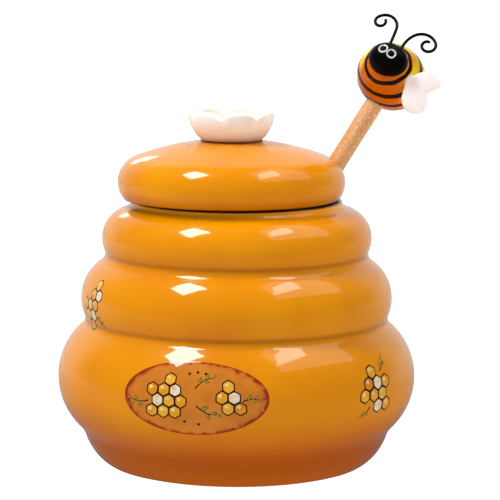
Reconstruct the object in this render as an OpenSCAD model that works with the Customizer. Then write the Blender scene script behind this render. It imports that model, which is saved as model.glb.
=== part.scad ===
// Beehive honey pot: a stoneware pot of three stacked rings on a low base band, a loose domed lid
// with a flower knob, and a wooden honey dipper that leans out through a slot in the lid.
// A bee sits on the top end of the dipper.
// Origin: on the pot's axis, on the plane that it stands on. +Z is up and the pot's front is -Y.

/* [Pot body] */
// Height of the widest line of the low band above the foot
band_z = 17; // [15:0.5:20]
// Radius of the low band at its widest line
band_r = 57; // [54:0.5:60]
// Roundness radius of the low band
band_round = 18.7; // [17:0.1:21]
// Height of the low ring above the widest line of the band
low_rise = 15.8; // [14:0.2:20]
// Radius of the low ring, the widest line of the pot
low_r = 66; // [62:0.5:70]
// Roundness radius of the low ring
low_round = 24.6; // [22:0.2:27]
// Height of the middle ring above the low ring
mid_rise = 28.8; // [26:0.1:32]
// Radius of the middle ring
mid_r = 57.4; // [55:0.2:62]
// Roundness radius of the middle ring
mid_round = 16; // [14:0.2:18]
// Height of the top ring above the middle ring
top_rise = 21.9; // [19:0.1:24]
// Radius of the top ring
top_r = 49.7; // [47:0.1:53]
// Roundness radius of the top ring
top_round = 11.5; // [10:0.1:12.2]
// Roundness of the shallow groove between the band and the low ring
band_groove = 11; // [6:0.5:14]
// Roundness of the groove between the low and the middle ring
low_groove = 3.5; // [2:0.5:8]
// Roundness of the groove between the middle and the top ring
mid_groove = 3.5; // [2:0.5:8]
// Thickness of the pot's wall
pot_wall = 4.5; // [3:0.1:6]
// Thickness of the pot's floor
floor_t = 6; // [4.5:0.1:8]
// Outer radius of the foot ring
foot_r = 44; // [40:0.5:45.5]
// Width of the foot ring
foot_w = 7; // [4:0.5:10]
// Depth of the recess inside the foot ring
foot_h = 1.2; // [0.6:0.1:2]

/* [Mouth] */
// Height of the neck above the crest of the top ring
neck_h = 2.5; // [0.4:0.1:4]
// Outer radius of the neck
neck_r = 38.6; // [36.5:0.1:39]
// Inner radius of the mouth
mouth_r = 33.3; // [31:0.1:34]
// Roundness of the rim's inner edge
rim_edge = 1.2; // [0.4:0.1:1.8]

/* [Lid] */
// Radius of the lid at its widest line
lid_r = 41.8; // [40:0.1:45]
// Height of the lid's widest line above its underside
lid_rise = 6.2; // [5.5:0.1:9]
// Roundness radius of the lid's edge
lid_round = 10.1; // [9:0.1:12]
// Radius of the sphere that the lid's dome is part of
dome_r = 100; // [80:1:130]
// Thickness of the lid's dome
lid_wall = 4.2; // [3:0.1:5.5]
// Thickness of the lid's rounded edge
lid_edge_wall = 5; // [4:0.1:6.5]
// Height above the underside where the lid starts to hollow outwards
lid_hollow_z = 3.5; // [2.5:0.1:4.5]
// Depth of the locating ring that hangs in the mouth
flange_h = 6; // [4:0.1:9]
// Thickness of the locating ring
flange_t = 4; // [3:0.1:5]
// Play between the locating ring and the mouth, all round
flange_play = 2.4; // [1:0.1:3]
// Radius of the flat on top of the dome that carries the knob
knob_seat_r = 11.4; // [11.2:0.1:14]

/* [Flower knob] */
// Radius of the knob's foot
knob_foot_r = 11; // [9:0.1:11.2]
// Radius of the knob across the petals
knob_r = 16.2; // [14:0.1:19]
// Height of the knob
knob_h = 10.6; // [9:0.1:13]
// Number of petals
petals = 7; // [5:1:9]
// Depth of the dips between the petals
petal_dip = 2.3; // [1:0.1:3.5]
// Roundness radius of a petal's tip
petal_round = 11.6; // [10:0.1:16]
// Direction of the first petal's middle, from the front
petal_turn = -25; // [-50:1:0]
// Thickness of the petals
petal_t = 2.2; // [1.6:0.1:3]
// Thickness of the knob's floor
knob_floor = 3.4; // [2.5:0.1:4.5]
// Radius of the flower's centre button
button_r = 4.6; // [3:0.1:5.5]
// Height of the flower's centre button
button_h = 3.4; // [2:0.1:4.4]

/* [Honey dipper] */
// Lean of the dipper from upright
lean = 32.8; // [30:0.1:35]
// Direction that the dipper leans to, from +X towards +Y
dipper_turn = 27; // [0:1:60]
// Radius of the dipper's handle
handle_r = 3.5; // [3:0.1:4]
// Distance from the middle of the dipper's round end to the middle of the bee
handle_reach = 145.5; // [142:0.5:150]
// Radius of the dipper's head
head_r = 13; // [11:0.1:14]
// Length of the straight part of the dipper's head
head_straight = 15; // [12:0.5:18]
// Length of the shoulder that tapers to the handle
head_taper = 4; // [3:0.1:6]
// Radius where the shoulder ends
head_neck_r = 6; // [5.2:0.1:7.5]
// Number of honey grooves
grooves = 6; // [4:1:7]
// Width of a honey groove
groove_w = 2.2; // [1.4:0.1:2.6]
// Distance from groove to groove
groove_pitch = 4; // [3.6:0.1:4.2]
// Radius of the core that the grooves leave
core_r = 6.2; // [5.2:0.1:8]
// Depth of the handle's socket in the head
head_socket = 12; // [8:0.5:16]
// Clearance of the slot in the lid round the handle
slot_play = 0.6; // [0.4:0.1:1.2]

/* [Bee] */
// Radius of the bee's round body
body_r = 13; // [12:0.1:14]
// Half length of the bee's body from face to tail
body_half = 14; // [13:0.1:16]
// Depth of the handle's socket in the bee, below the middle of its body
bee_socket_stop = 4; // [2:0.5:6]
// Turn of the bee about the handle
bee_turn = -35; // [-45:1:0]
// Lift of the bee's face
bee_lift = 15; // [0:1:30]
// Roll of the bee about its own length
bee_roll = -9.5; // [-20:0.5:20]
// Half width of the bee's head
bee_head_half = 7.4; // [6.5:0.1:8]
// Radius of the bee's head seen from the side
bee_head_r = 6.3; // [5.5:0.1:7]
// Distance of the head's middle in front of the body's middle
bee_head_out = 12.5; // [12:0.1:14]
// Height of the head's middle above the body's middle
bee_head_up = 0.4; // [0:0.1:2]
// Thickness of the wings
wing_t = 2.4; // [1.6:0.1:3]
// How far a wing's outer face stands out of the body where it lies on it
wing_proud = 0.2; // [0:0.1:1]
// Turn of the left wing round the body, from the face
wing_turn_left = 85; // [70:1:100]
// Turn of the right wing round the body, from the face
wing_turn_right = 35; // [34:1:70]
// Height of the left wing's root above the middle of the body
wing_rise_left = 6; // [0:0.1:7]
// Height of the right wing's root above the middle of the body
wing_rise_right = -2.9; // [-4:0.1:2]
// Radius of the root of a wing
root_r = 3.1; // [2.4:0.1:3.6]
// Distance of the root's middle from the line where the wing lies closest to the body
root_out = 4.5; // [4.2:0.1:6]
// Radius of a wing's upper lobe
upper_r = 4.7; // [4:0.1:6]
// Distance of the upper lobe's middle beyond the root's middle
upper_out = 5.1; // [4:0.1:7]
// Height of the upper lobe's middle above the root's middle
upper_rise = 4; // [3:0.1:6]
// Radius of a wing's lower lobe
lower_r = 5.5; // [4:0.1:6.5]
// Distance of the lower lobe's middle beyond the root's middle
lower_out = 3.6; // [3:0.1:6]
// Depth of the lower lobe's middle below the root's middle
lower_drop = 4.8; // [3:0.1:6]
// Radius of an antenna's wire
wire_r = 0.6; // [0.4:0.05:0.8]
// Distance from one antenna's root to the other's
antenna_gap = 4.6; // [3.5:0.1:6]
// Depth of an antenna's hole in the head
antenna_root = 2; // [1.2:0.1:2.6]
// Radius of the left antenna's crook
crook_left = 4.6; // [4.2:0.1:6]
// Radius of the left antenna's curl
curl_left = 2; // [1.8:0.1:2.6]
// Radius of the right antenna's crook
crook_right = 5.7; // [5:0.1:7]
// Radius of the right antenna's curl
curl_right = 2.6; // [2.2:0.1:3]
// Outer radius of a ring eye
eye_r = 1.9; // [1.6:0.05:1.95]
// Width of the ring of an eye
eye_w = 0.7; // [0.5:0.05:0.9]
// How far the eyes stand out of the head
eye_proud = 0.35; // [0.2:0.05:0.6]
// Height angle of the eyes on the head
eye_lift = 5; // [-5:1:30]
// Angle from one eye to the other
eye_spread = 34; // [34:1:48]

/* [Fits] */
// Gap where a loose piece rests on another
seat_gap = 0.3; // [0.25:0.05:0.5]
// Gap of a glued joint
glue_gap = 0.1; // [0.05:0.05:0.2]

/* [Hidden] */
$fn = 96;
ring_steps = 10;
round_steps = 6;
lobe_steps = 24;
past = 1;
// Furthest that the top ring's arcs run inwards, as a share of their radius
furthest_in = -0.9;
// Least height of the neck that its outer rounding leaves straight
neck_straight = 0.1;
// How far the petals' arcs pass over the rim, which leaves each tip a small flat
tip_flat = 0.15;
// Each two arcs of a wire stop this far from their joint, and a bead bridges them
joint_gap = 0.1;
bead_proud = 0.06;

// Heights above the foot
low_z = band_z + low_rise;
mid_z = low_z + mid_rise;
top_z = mid_z + top_rise;
rim_z = top_z + top_round + neck_h;
lid_z = rim_z + seat_gap;
lid_ring_z = lid_z + lid_rise;
neck_edge = min(rim_edge, neck_h - neck_straight);

// The four rings of the wall as [distance from the axis, height, radius], and the grooves between
rings = [[band_r - band_round, band_z, band_round], [low_r - low_round, low_z, low_round],
    [mid_r - mid_round, mid_z, mid_round], [top_r - top_round, top_z, top_round]];
groove_rounds = [band_groove, low_groove, mid_groove];

// The lid's dome: its sphere touches the lid's rounded edge from inside
lid_ring_r = lid_r - lid_round;
dome_z = lid_ring_z - sqrt(pow(dome_r - lid_round, 2) - pow(lid_ring_r, 2));
dome_angle = atan2(lid_ring_z - dome_z, lid_ring_r);
knob_z = dome_z + sqrt(pow(dome_r, 2) - pow(knob_seat_r, 2));
flange_r = mouth_r - flange_play;
lid_shift = flange_play - seat_gap;

// The dipper leans on the mouth's rounded edge and stands on the floor with its round end
dipper_end_z = floor_t + seat_gap + head_r;
lean_z = rim_z - rim_edge;
lean_out = mouth_r + rim_edge - (handle_r + seat_gap + rim_edge) / cos(lean);
dipper_end_out = lean_out - (lean_z - dipper_end_z) * tan(lean);
head_top = head_straight + head_taper;
slot_r = handle_r + slot_play;
bee_head_at = [0, -bee_head_out, bee_head_up];

// Points along an arc about [x, z], from angle a0 to a1
function arc(x, z, r, a0, a1, n = ring_steps) =
    [for (i = [0:n]) let (a = a0 + (a1 - a0) * i / n) [x + r * cos(a), z + r * sin(a)]];
function backwards(points) = [for (i = [len(points) - 1:-1:0]) points[i]];
function degrees_up(a) = a < 0 ? a + 360 : a;
function bearing(from, to) = atan2(to[1] - from[1], to[0] - from[0]);

// Middle of a groove's circle of radius f, which touches two rings from outside
function groove_middle(p, q, f) =
    let (d = norm([q[0] - p[0], q[1] - p[1]]),
        u = (pow(p[2] + f, 2) - pow(q[2] + f, 2) + d * d) / (2 * d),
        h = sqrt(max(0, pow(p[2] + f, 2) - u * u)))
    [p[0] + (u * (q[0] - p[0]) + h * (q[1] - p[1])) / d,
     p[1] + (u * (q[1] - p[1]) - h * (q[0] - p[0])) / d];
groove_middles = [for (i = [0:2]) groove_middle(rings[i], rings[i + 1], groove_rounds[i])];

// The wall's line from the foot up, moved in by a depth, from height z0 to distance r1 at the mouth
function ring_arc(i, depth, a0, a1) = arc(rings[i][0], rings[i][1], rings[i][2] - depth, a0, a1);
function groove_arc(i, depth) =
    let (m = groove_middles[i], r = groove_rounds[i] + depth)
    arc(m[0], m[1], r, degrees_up(bearing(m, rings[i])), degrees_up(bearing(m, rings[i + 1])),
        round_steps);
function inner_points(points) = [for (i = [1:len(points) - 2]) points[i]];
function wall_line(depth, z0, r1) =
    let (start = -asin((rings[0][1] - z0) / (rings[0][2] - depth)),
        finish = acos(max(furthest_in, (r1 - rings[3][0]) / (rings[3][2] - depth))),
        from = [start, for (i = [0:2]) bearing(groove_middles[i], rings[i + 1]) - 180],
        to = [for (i = [0:2]) bearing(rings[i], groove_middles[i]), finish])
    [for (i = [0:3]) each concat(
        ring_arc(i, depth, nearest(from[i]), nearest(to[i])),
        i < 3 ? inner_points(groove_arc(i, depth)) : [])];
function nearest(a) = a < -180 ? a + 360 : a > 180 ? a - 360 : a;

module ring_solid(points) {
    rotate_extrude() polygon(points);
}

// An ellipsoid about Z: half is its half length along Z, r its radius
module ellipsoid(half, r) {
    ring_solid([for (p = arc(0, 0, 1, -90, 90, 2 * ring_steps)) [max(0, p[0]) * r, p[1] * half]]);
}

// Frame of the dipper: origin in the middle of its round end, +Z along the handle
module at_dipper() {
    rotate([0, 0, dipper_turn]) translate([dipper_end_out, 0, dipper_end_z]) rotate([0, lean, 0])
        children();
}

// Frame of the bee: origin in the middle of its body, face towards -Y, +Z up
module at_bee() {
    at_dipper() translate([0, 0, handle_reach]) rotate([0, 0, bee_turn]) rotate([-bee_lift, 0, 0])
        rotate([0, bee_roll, 0]) children();
}

module at_lid() {
    rotate([0, 0, dipper_turn]) translate([-lid_shift, 0, 0]) rotate([0, 0, -dipper_turn]) children();
}

module at_eye(side) {
    at_bee() translate(bee_head_at) rotate([0, 0, side * eye_spread / 2]) rotate([-eye_lift, 0, 0])
        children();
}

module handle_hole(r, from, to) {
    at_dipper() translate([0, 0, from]) cylinder(r = r, h = to - from);
}

module bee_body_shape(grow) {
    rotate([90, 0, 0]) ellipsoid(body_half + grow, body_r + grow);
}

module bee_head_shape(grow) {
    translate(bee_head_at) rotate([0, 90, 0]) ellipsoid(bee_head_half + grow, bee_head_r + grow);
}

// Pot: one thrown shell with a foot ring, an open mouth and a low neck that the lid hides
module pot() {
    outer = wall_line(0, foot_h, neck_r);
    inner = wall_line(pot_wall, floor_t, mouth_r);
    color("darkorange") ring_solid(concat(
        [[0, floor_t]], inner,
        backwards(arc(mouth_r + rim_edge, rim_z - rim_edge, rim_edge, 90, 180, round_steps)),
        arc(neck_r - neck_edge, rim_z - neck_edge, neck_edge, 90, 0, round_steps),
        backwards(outer),
        [[foot_r, foot_h], [foot_r, 0], [foot_r - foot_w, 0], [foot_r - foot_w, foot_h], [0, foot_h]]));
}

// Lid: a hollow dome with a rounded edge and a locating ring, slotted for the handle
module lid_shell() {
    flange_in = flange_r - flange_t;
    hollow_r = lid_round - lid_edge_wall;
    top_r_in = dome_r - lid_wall;
    edge_top = [lid_ring_r + hollow_r * cos(dome_angle), lid_ring_z + hollow_r * sin(dome_angle)];
    dome_start = acos(edge_top[0] / top_r_in);
    ring_solid(concat(
        [[flange_in, lid_z - flange_h], [flange_r, lid_z - flange_h], [flange_r, lid_z]],
        arc(lid_ring_r, lid_ring_z, lid_round, -asin(lid_rise / lid_round), dome_angle),
        inner_points(arc(0, dome_z, dome_r, dome_angle, acos(knob_seat_r / dome_r))),
        [[knob_seat_r, knob_z], [0, knob_z]],
        backwards(arc(0, dome_z, top_r_in, dome_start, 90)),
        backwards(arc(lid_ring_r, lid_ring_z, hollow_r, 0, dome_angle, round_steps)),
        [[flange_in, lid_z + lid_hollow_z]]));
}

module lid() {
    color("orange") difference() {
        at_lid() lid_shell();
        handle_hole(slot_r, 0, handle_reach);
        at_dipper() translate([0, -slot_r, 0]) cube([2 * lid_r, 2 * slot_r, handle_reach]);
    }
}

// Flower knob: a shallow scalloped bowl that is stuck on the flat of the dome
module knob_flower() {
    bowl_round = (pow(knob_h, 2) + pow(knob_r - knob_foot_r, 2)) / (2 * (knob_r - knob_foot_r));
    bowl_in = bowl_round - petal_t;
    bowl_x = knob_r - bowl_round;
    floor_angle = -asin((knob_h - knob_floor) / bowl_in);
    color("ivory") at_lid() translate([0, 0, knob_z]) difference() {
        ring_solid(concat(
            [[0, knob_floor]],
            arc(bowl_x, knob_h, bowl_in, floor_angle, 0),
            backwards(arc(bowl_x, knob_h, bowl_round, -asin(knob_h / bowl_round), 0)),
            [[0, 0]]));
        for (i = [0:petals - 1]) rotate([0, 0, petal_turn + (i + 0.5) * 360 / petals]) petal_cut();
    }
}

// What is cut away between two petal tips, seen along the radius
module petal_cut() {
    half_gap = sqrt(pow(petal_round, 2) - pow(petal_round - petal_dip, 2));
    tip_z = knob_h + tip_flat - petal_round;
    rotate([90, 0, 0]) translate([0, 0, knob_foot_r / 2]) linear_extrude(knob_r) difference() {
        translate([-half_gap, knob_h - 2 * petal_dip]) square([2 * half_gap, 3 * petal_dip]);
        for (side = [-1, 1]) translate([side * half_gap, tip_z]) circle(petal_round);
    }
}

module knob_centre() {
    button_ball = (pow(button_r, 2) + pow(button_h, 2)) / (2 * button_h);
    color("gold") at_lid() translate([0, 0, knob_z + knob_floor]) ring_solid(concat(
        [[0, 0]], arc(0, button_h - button_ball, button_ball, acos(button_r / button_ball), 90)));
}

// Dipper: a turned, grooved head glued on a plain dowel
module dipper_handle() {
    color("burlywood") handle_hole(handle_r, head_top - head_socket, handle_reach - bee_socket_stop);
}

module dipper_head() {
    color("peru") difference() {
        at_dipper() difference() {
            ring_solid(concat(arc(0, 0, head_r, -90, 0),
                [[head_r, head_straight], [head_neck_r, head_top], [0, head_top]]));
            for (i = [0:grooves - 1]) translate([0, 0, head_straight - groove_pitch * (i + 0.75)])
                rotate_extrude() translate([core_r, 0]) square([head_r, groove_w]);
        }
        handle_hole(handle_r + glue_gap, head_top - head_socket - glue_gap, head_top + past);
    }
}

// Bee: a round body with a socket for the handle and a seat for the head
module bee_body() {
    color("darkorange") difference() {
        at_bee() bee_body_shape(0);
        at_bee() bee_head_shape(glue_gap);
        handle_hole(handle_r + glue_gap, handle_reach - 2 * body_half,
            handle_reach - bee_socket_stop + glue_gap);
    }
}

module bee_head() {
    color([0.08, 0.08, 0.09]) difference() {
        at_bee() bee_head_shape(0);
        for (side = [-1, 1]) antenna_hole(side);
    }
}

// Wing: a plate of two lobes on one root, laid on the body's side and swept back from it
module bee_wing(side) {
    turn = side < 0 ? wing_turn_left : wing_turn_right;
    rise = side < 0 ? wing_rise_left : wing_rise_right;
    face = wing_proud + norm([body_r * sin(turn), body_half * cos(turn)]);
    color("white") at_bee() difference() {
        rotate([0, 0, side * turn]) translate([side * root_out, wing_t - face, rise])
            rotate([90, 0, 0]) linear_extrude(wing_t) {
                lobe([side * upper_out, upper_rise], upper_r);
                lobe([side * lower_out, -lower_drop], lower_r);
            }
        bee_body_shape(glue_gap);
    }
}

// A lobe that widens from the wing's root to a round end
module lobe(end, r) {
    across = acos((root_r - r) / norm(end));
    toward = bearing([0, 0], end);
    polygon(concat(arc(0, 0, root_r, toward + across, toward + 360 - across, lobe_steps),
        arc(end[0], end[1], r, toward - across, toward + across, lobe_steps)));
}

// Antenna: a wire of arcs, each [radius, sweep], that starts upright on the head and curls outwards
arcs_left = [[60, 8], [crook_left, 141], [curl_left, 180], [curl_left * 0.9, 75]];
arcs_right = [[60, 3], [9, 34], [crook_right, 100], [curl_right, 180], [curl_right * 0.7, 140]];
antenna_start = 90;
antenna_foot = bee_head_r - antenna_root;
function turned(arcs, k) = k == 0 ? 0 : turned(arcs, k - 1) + arcs[k - 1][1];
function heading(arcs, k) = antenna_start - turned(arcs, k);
function along(arcs, k) = k == 0 ? [0, 0] :
    let (r = arcs[k - 1][0], a = heading(arcs, k - 1), b = heading(arcs, k))
    along(arcs, k - 1) + r * [sin(a) - sin(b), cos(b) - cos(a)];

// Frame of an antenna's foot, in the top of the head; its curl lies in the frame's XZ plane
module at_antenna(side) {
    at_bee() translate(bee_head_at + [side * antenna_gap / 2, 0, antenna_foot])
        mirror([side < 0 ? 1 : 0, 0, 0]) children();
}

module antenna_hole(side) {
    at_antenna(side) rotate([0, 90 - antenna_start, 0])
        cylinder(r = wire_r + glue_gap, h = 2 * antenna_root);
}

module bee_antenna(side) {
    arcs = side < 0 ? arcs_left : arcs_right;
    color([0.1, 0.1, 0.1]) at_antenna(side) for (k = [0:len(arcs) - 1]) {
        r = arcs[k][0];
        middle = along(arcs, k) + r * [sin(heading(arcs, k)), -cos(heading(arcs, k))];
        trim = asin(joint_gap / r);
        translate([middle[0], 0, middle[1]]) rotate([90, 0, 0])
            rotate([0, 0, 90 + trim + heading(arcs, k + 1)])
                rotate_extrude(angle = arcs[k][1] - 2 * trim) translate([r, 0]) circle(wire_r);
        if (k > 0) translate([along(arcs, k)[0], 0, along(arcs, k)[1]])
            sphere(wire_r + bead_proud);
    }
}

module bee_eye(side) {
    side_angle = eye_spread / 2;
    reach = eye_proud + 1 / norm([sin(side_angle) / bee_head_half, cos(side_angle) / bee_head_r]);
    color("white") difference() {
        at_eye(side) rotate([90, 0, 0]) difference() {
            cylinder(r = eye_r, h = reach);
            translate([0, 0, -past]) cylinder(r = eye_r - eye_w, h = reach + 2 * past);
        }
        at_bee() bee_head_shape(glue_gap);
    }
}

pot();
lid();
knob_flower();
knob_centre();
dipper_handle();
dipper_head();
bee_body();
bee_head();
bee_wing(-1);  // bee_wing_left
bee_wing(1);  // bee_wing_right
bee_antenna(-1);  // bee_antenna_left
bee_antenna(1);  // bee_antenna_right
bee_eye(-1);  // bee_eye_left
bee_eye(1);  // bee_eye_right
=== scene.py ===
"""Looks of a beehive honey pot: a glazed pot of three rings on a low band, a domed lid with a
flower knob, and a wooden dipper with a bee on its end. Lengths are in millimetres until a mesh is
made from them."""
import math

import bpy
import numpy as np
from mathutils import Matrix, Vector


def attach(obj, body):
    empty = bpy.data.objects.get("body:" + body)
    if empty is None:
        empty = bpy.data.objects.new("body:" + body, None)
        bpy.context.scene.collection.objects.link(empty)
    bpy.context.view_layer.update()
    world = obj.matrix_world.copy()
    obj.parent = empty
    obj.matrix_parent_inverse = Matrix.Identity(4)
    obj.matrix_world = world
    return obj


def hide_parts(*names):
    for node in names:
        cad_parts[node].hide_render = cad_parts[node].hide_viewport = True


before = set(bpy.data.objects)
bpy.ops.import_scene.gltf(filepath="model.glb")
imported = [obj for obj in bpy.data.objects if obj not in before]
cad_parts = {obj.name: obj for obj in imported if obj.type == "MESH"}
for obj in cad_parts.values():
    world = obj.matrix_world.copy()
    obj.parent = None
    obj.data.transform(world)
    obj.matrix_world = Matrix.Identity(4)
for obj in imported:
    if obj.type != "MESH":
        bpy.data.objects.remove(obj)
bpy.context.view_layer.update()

MM = 0.001

# Depth of the looks under the outer faces of the solids, which leaves room for the painted places
SKIN = 0.3

# Pot: the rings as (distance from the axis, height, radius), and the rounds of the grooves between
RINGS = [(38.3, 17.0, 18.7), (41.4, 32.8, 24.6), (41.4, 61.6, 16.0), (38.2, 83.5, 11.5)]
GROOVES = [11.0, 3.5, 3.5]
POT_WALL = 4.5
FLOOR_T = 6.0
FOOT_R = 44.0
FOOT_W = 7.0
FOOT_H = 1.2
RIM_Z = 97.5
NECK_R = 38.6
NECK_EDGE = 0.4
NECK_FILLET = 3.0
MOUTH_R = 33.3
RIM_EDGE = 1.2

# Lid
LID_Z = 97.8
LID_RING = (31.7, 104.0, 10.1)
DOME_R = 100.0
DOME_Z = 19.87
LID_WALL = 4.2
LID_EDGE_WALL = 5.0
LID_HOLLOW_Z = 3.5
FLANGE_R = 30.9
FLANGE_T = 4.0
FLANGE_H = 6.0
LID_SHIFT = 2.1
SLOT_EDGE = 1.2
SLOT_PLAY = 0.1

# Flower knob
KNOB_SEAT_R = 11.4
KNOB_Z = 119.22
KNOB_FOOT_R = 11.0
KNOB_R = 16.2
KNOB_H = 10.6
KNOB_FLOOR = 3.4
PETALS = 7
PETAL_DIP = 2.3
PETAL_TURN = -25.0
PETAL_T = 2.2
# Height by which the petals' tips pass the solid's, thickness of their lip as a share of theirs,
# depth of the creases between them, and how far the bowl is drawn in between its foot and its lip
PETAL_RISE = 0.45
LIP_SHARE = 0.46
CREASE_DEPTH = 0.62
BOWL_WAIST = 0.25
FLOWER_SIDES = 280
BUTTON_R = 4.6
BUTTON_H = 3.4
BUTTON_INSET = 0.35
STAMENS = 64
STAMEN_R = 0.62
STAMEN_RISE = 0.3
BEAD_R = 0.34

# Dipper
LEAN = 32.8
DIPPER_TURN = 27.0
DIPPER_END = (-21.07, 19.3)
HANDLE_R = 3.5
HANDLE_REACH = 145.5
SLOT_R = 4.1
HEAD_R = 13.0
HEAD_STRAIGHT = 15.0
HEAD_TOP = 19.0
HEAD_NECK_R = 6.0
GROOVE_COUNT = 6
GROOVE_W = 2.2
GROOVE_PITCH = 4.0
CORE_R = 6.2
HEAD_SOCKET = 12.0

# Bee
BODY_R = 13.0
BODY_HALF = 14.0
BODY_FLAT = 0.92
BEE_TURN = -35.0
BEE_LIFT = 15.0
BEE_ROLL = -9.5
BEE_HEAD_HALF = 7.4
BEE_HEAD_R = 6.3
BEE_HEAD_AT = (0.0, -12.5, 0.4)
WING_T = 2.4
WING_PROUD = 0.2
WING_TURN = {-1: 85.0, 1: 35.0}
WING_MIDDLE = (3.0, -0.3)
WING_INSET = 0.24
WING_BULGE = 3.0
LOBE_BLEND = 0.9
WING_RISE = {-1: 6.0, 1: -2.9}
ROOT_R = 3.1
ROOT_OUT = 4.5
# Upper lobe of a wing, its tip and the lower lobe as (distance outwards, height, radius), from
# the root's middle
LOBES = [(4.6, 3.8, 4.3), (7.8, 5.1, 2.4), (3.6, -4.8, 5.5)]
WIRE_R = 0.6
ANTENNA_GAP = 4.6
ANTENNA_ROOT = 2.0
# Arcs of each antenna as (radius, sweep), from the head
ANTENNA_ARCS = {-1: [(60.0, 8.0), (4.6, 141.0), (2.0, 180.0), (1.8, 75.0)],
                1: [(60.0, 3.0), (9.0, 34.0), (5.7, 100.0), (2.6, 180.0), (1.82, 140.0)]}
# Painted rings of the bee as (angle from the face's axis, half width), in degrees
STRIPES = [(38.5, 3.2), (63.4, 4.4), (88.9, 5.0), (114.0, 4.6)]
EYE_R = 1.9
EYE_W = 0.7
EYE_LINE_R = 0.31
# Pupil's section as (distance from the eye's middle, height above the head)
PUPIL = [(0.0, 0.02), (0.12, 0.02), (0.2, 0.16), (0.45, 0.2), (0.8, 0.14), (1.1, 0.04)]
EYE_LIFT = 5.0
EYE_SPREAD = 34.0
EYE_ROLL = 12.0

TURN_STEPS = 256
BALL_STEPS = 72
BEND_STEPS = 20
TIP_RINGS = 4
# A distance from the axis that counts as on it
AXIS_R = 1e-6
# A direction that no tube follows
ANY_WAY = (0.31, 0.87, 0.39)

# Camera, as a turn from the pot's front and a lift above level
CAMERA_TURN = 15.0
CAMERA_LIFT = 7.9
BACKWARDS = (-math.sin(math.radians(CAMERA_TURN)), math.cos(math.radians(CAMERA_TURN)), 0.0)


# ---------------------------------------------------------------- lines and frames

def arc(x, z, r, a0, a1, steps):
    """Points of an arc about (x, z), from angle a0 to a1 in degrees."""
    angles = np.radians(np.linspace(a0, a1, steps + 1))
    return [(x + r * math.cos(a), z + r * math.sin(a)) for a in angles]


def bearing(start, end):
    return math.degrees(math.atan2(end[1] - start[1], end[0] - start[0]))


def half_turn(angle):
    return (angle + 180.0) % 360.0 - 180.0


def groove_middle(p, q, f):
    """Middle of the circle of radius f that touches rings p and q from outside."""
    d = math.hypot(q[0] - p[0], q[1] - p[1])
    u = ((p[2] + f) ** 2 - (q[2] + f) ** 2 + d * d) / (2 * d)
    h = math.sqrt(max(0.0, (p[2] + f) ** 2 - u * u))
    return (p[0] + (u * (q[0] - p[0]) + h * (q[1] - p[1])) / d,
            p[1] + (u * (q[1] - p[1]) - h * (q[0] - p[0])) / d)


GROOVE_MIDDLES = [groove_middle(RINGS[i], RINGS[i + 1], GROOVES[i]) for i in range(3)]


def wall_line(depth, z0, r1, ring_steps, groove_steps):
    """The pot's wall from the foot up, moved in by a depth, from height z0 to distance r1."""
    points = []
    start = -math.degrees(math.asin((RINGS[0][1] - z0) / (RINGS[0][2] - depth)))
    top = RINGS[3]
    finish = math.degrees(math.acos(max(-0.9, (r1 - top[0]) / (top[2] - depth))))
    for i, ring in enumerate(RINGS):
        a0 = start if i == 0 else half_turn(bearing(GROOVE_MIDDLES[i - 1], ring) - 180.0)
        a1 = finish if i == 3 else half_turn(bearing(ring, GROOVE_MIDDLES[i]))
        points += arc(ring[0], ring[1], ring[2] - depth, a0, a1, ring_steps)
        if i < 3:
            middle = GROOVE_MIDDLES[i]
            b0 = bearing(middle, ring) % 360.0
            b1 = bearing(middle, RINGS[i + 1]) % 360.0
            points += arc(middle[0], middle[1], GROOVES[i] + depth, b0, b1, groove_steps)[1:-1]
    return points


def turn_z(degrees):
    return Matrix.Rotation(math.radians(degrees), 4, "Z")


def turn_x(degrees):
    return Matrix.Rotation(math.radians(degrees), 4, "X")


def turn_y(degrees):
    return Matrix.Rotation(math.radians(degrees), 4, "Y")


def shift(x, y, z):
    return Matrix.Translation((x, y, z))


AT_DIPPER = turn_z(DIPPER_TURN) @ shift(DIPPER_END[0], 0, DIPPER_END[1]) @ turn_y(LEAN)
AT_BEE = (AT_DIPPER @ shift(0, 0, HANDLE_REACH) @ turn_z(BEE_TURN) @ turn_x(-BEE_LIFT)
          @ turn_y(BEE_ROLL))
AT_BEE_HEAD = AT_BEE @ shift(*BEE_HEAD_AT)
AT_LID = turn_z(DIPPER_TURN) @ shift(-LID_SHIFT, 0, 0) @ turn_z(-DIPPER_TURN)


def moved(points, matrix):
    """An array of points taken through a matrix."""
    m = np.array(matrix)
    return np.asarray(points, float) @ m[:3, :3].T + m[:3, 3]


# ---------------------------------------------------------------- meshes

def mesh_object(name, points, faces, material, normals=None):
    """Object of a mesh whose points are in millimetres."""
    mesh = bpy.data.meshes.new(name)
    mesh.from_pydata([tuple(p) for p in np.asarray(points) * MM], [], faces)
    mesh.validate()
    mesh.polygons.foreach_set("use_smooth", [True] * len(mesh.polygons))
    if normals is not None:
        mesh.normals_split_custom_set_from_vertices([tuple(n) for n in normals])
    mesh.update()
    mesh.materials.append(material)
    thing = bpy.data.objects.new(name, mesh)
    bpy.context.scene.collection.objects.link(thing)
    return thing


def set_values(thing, name, values, kind="FLOAT"):
    """Store one number, vector or colour per point of an object's mesh."""
    attribute = thing.data.attributes.new(name, kind, "POINT")
    flat = np.asarray(values, np.float32).reshape(-1)
    key = {"FLOAT": "value", "FLOAT_VECTOR": "vector", "FLOAT_COLOR": "color"}[kind]
    attribute.data.foreach_set(key, flat)


def set_glaze(thing, **values):
    """Store where the amber glaze has painted shade, pooled glaze with painted shade, painted
    light and a painted seam shadow, and where it is missing. The rest is 0.
    """
    for name in ("pool", "deep", "bare", "thin", "seam"):
        set_values(thing, name, values.get(name, np.zeros(len(thing.data.vertices))))


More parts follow.
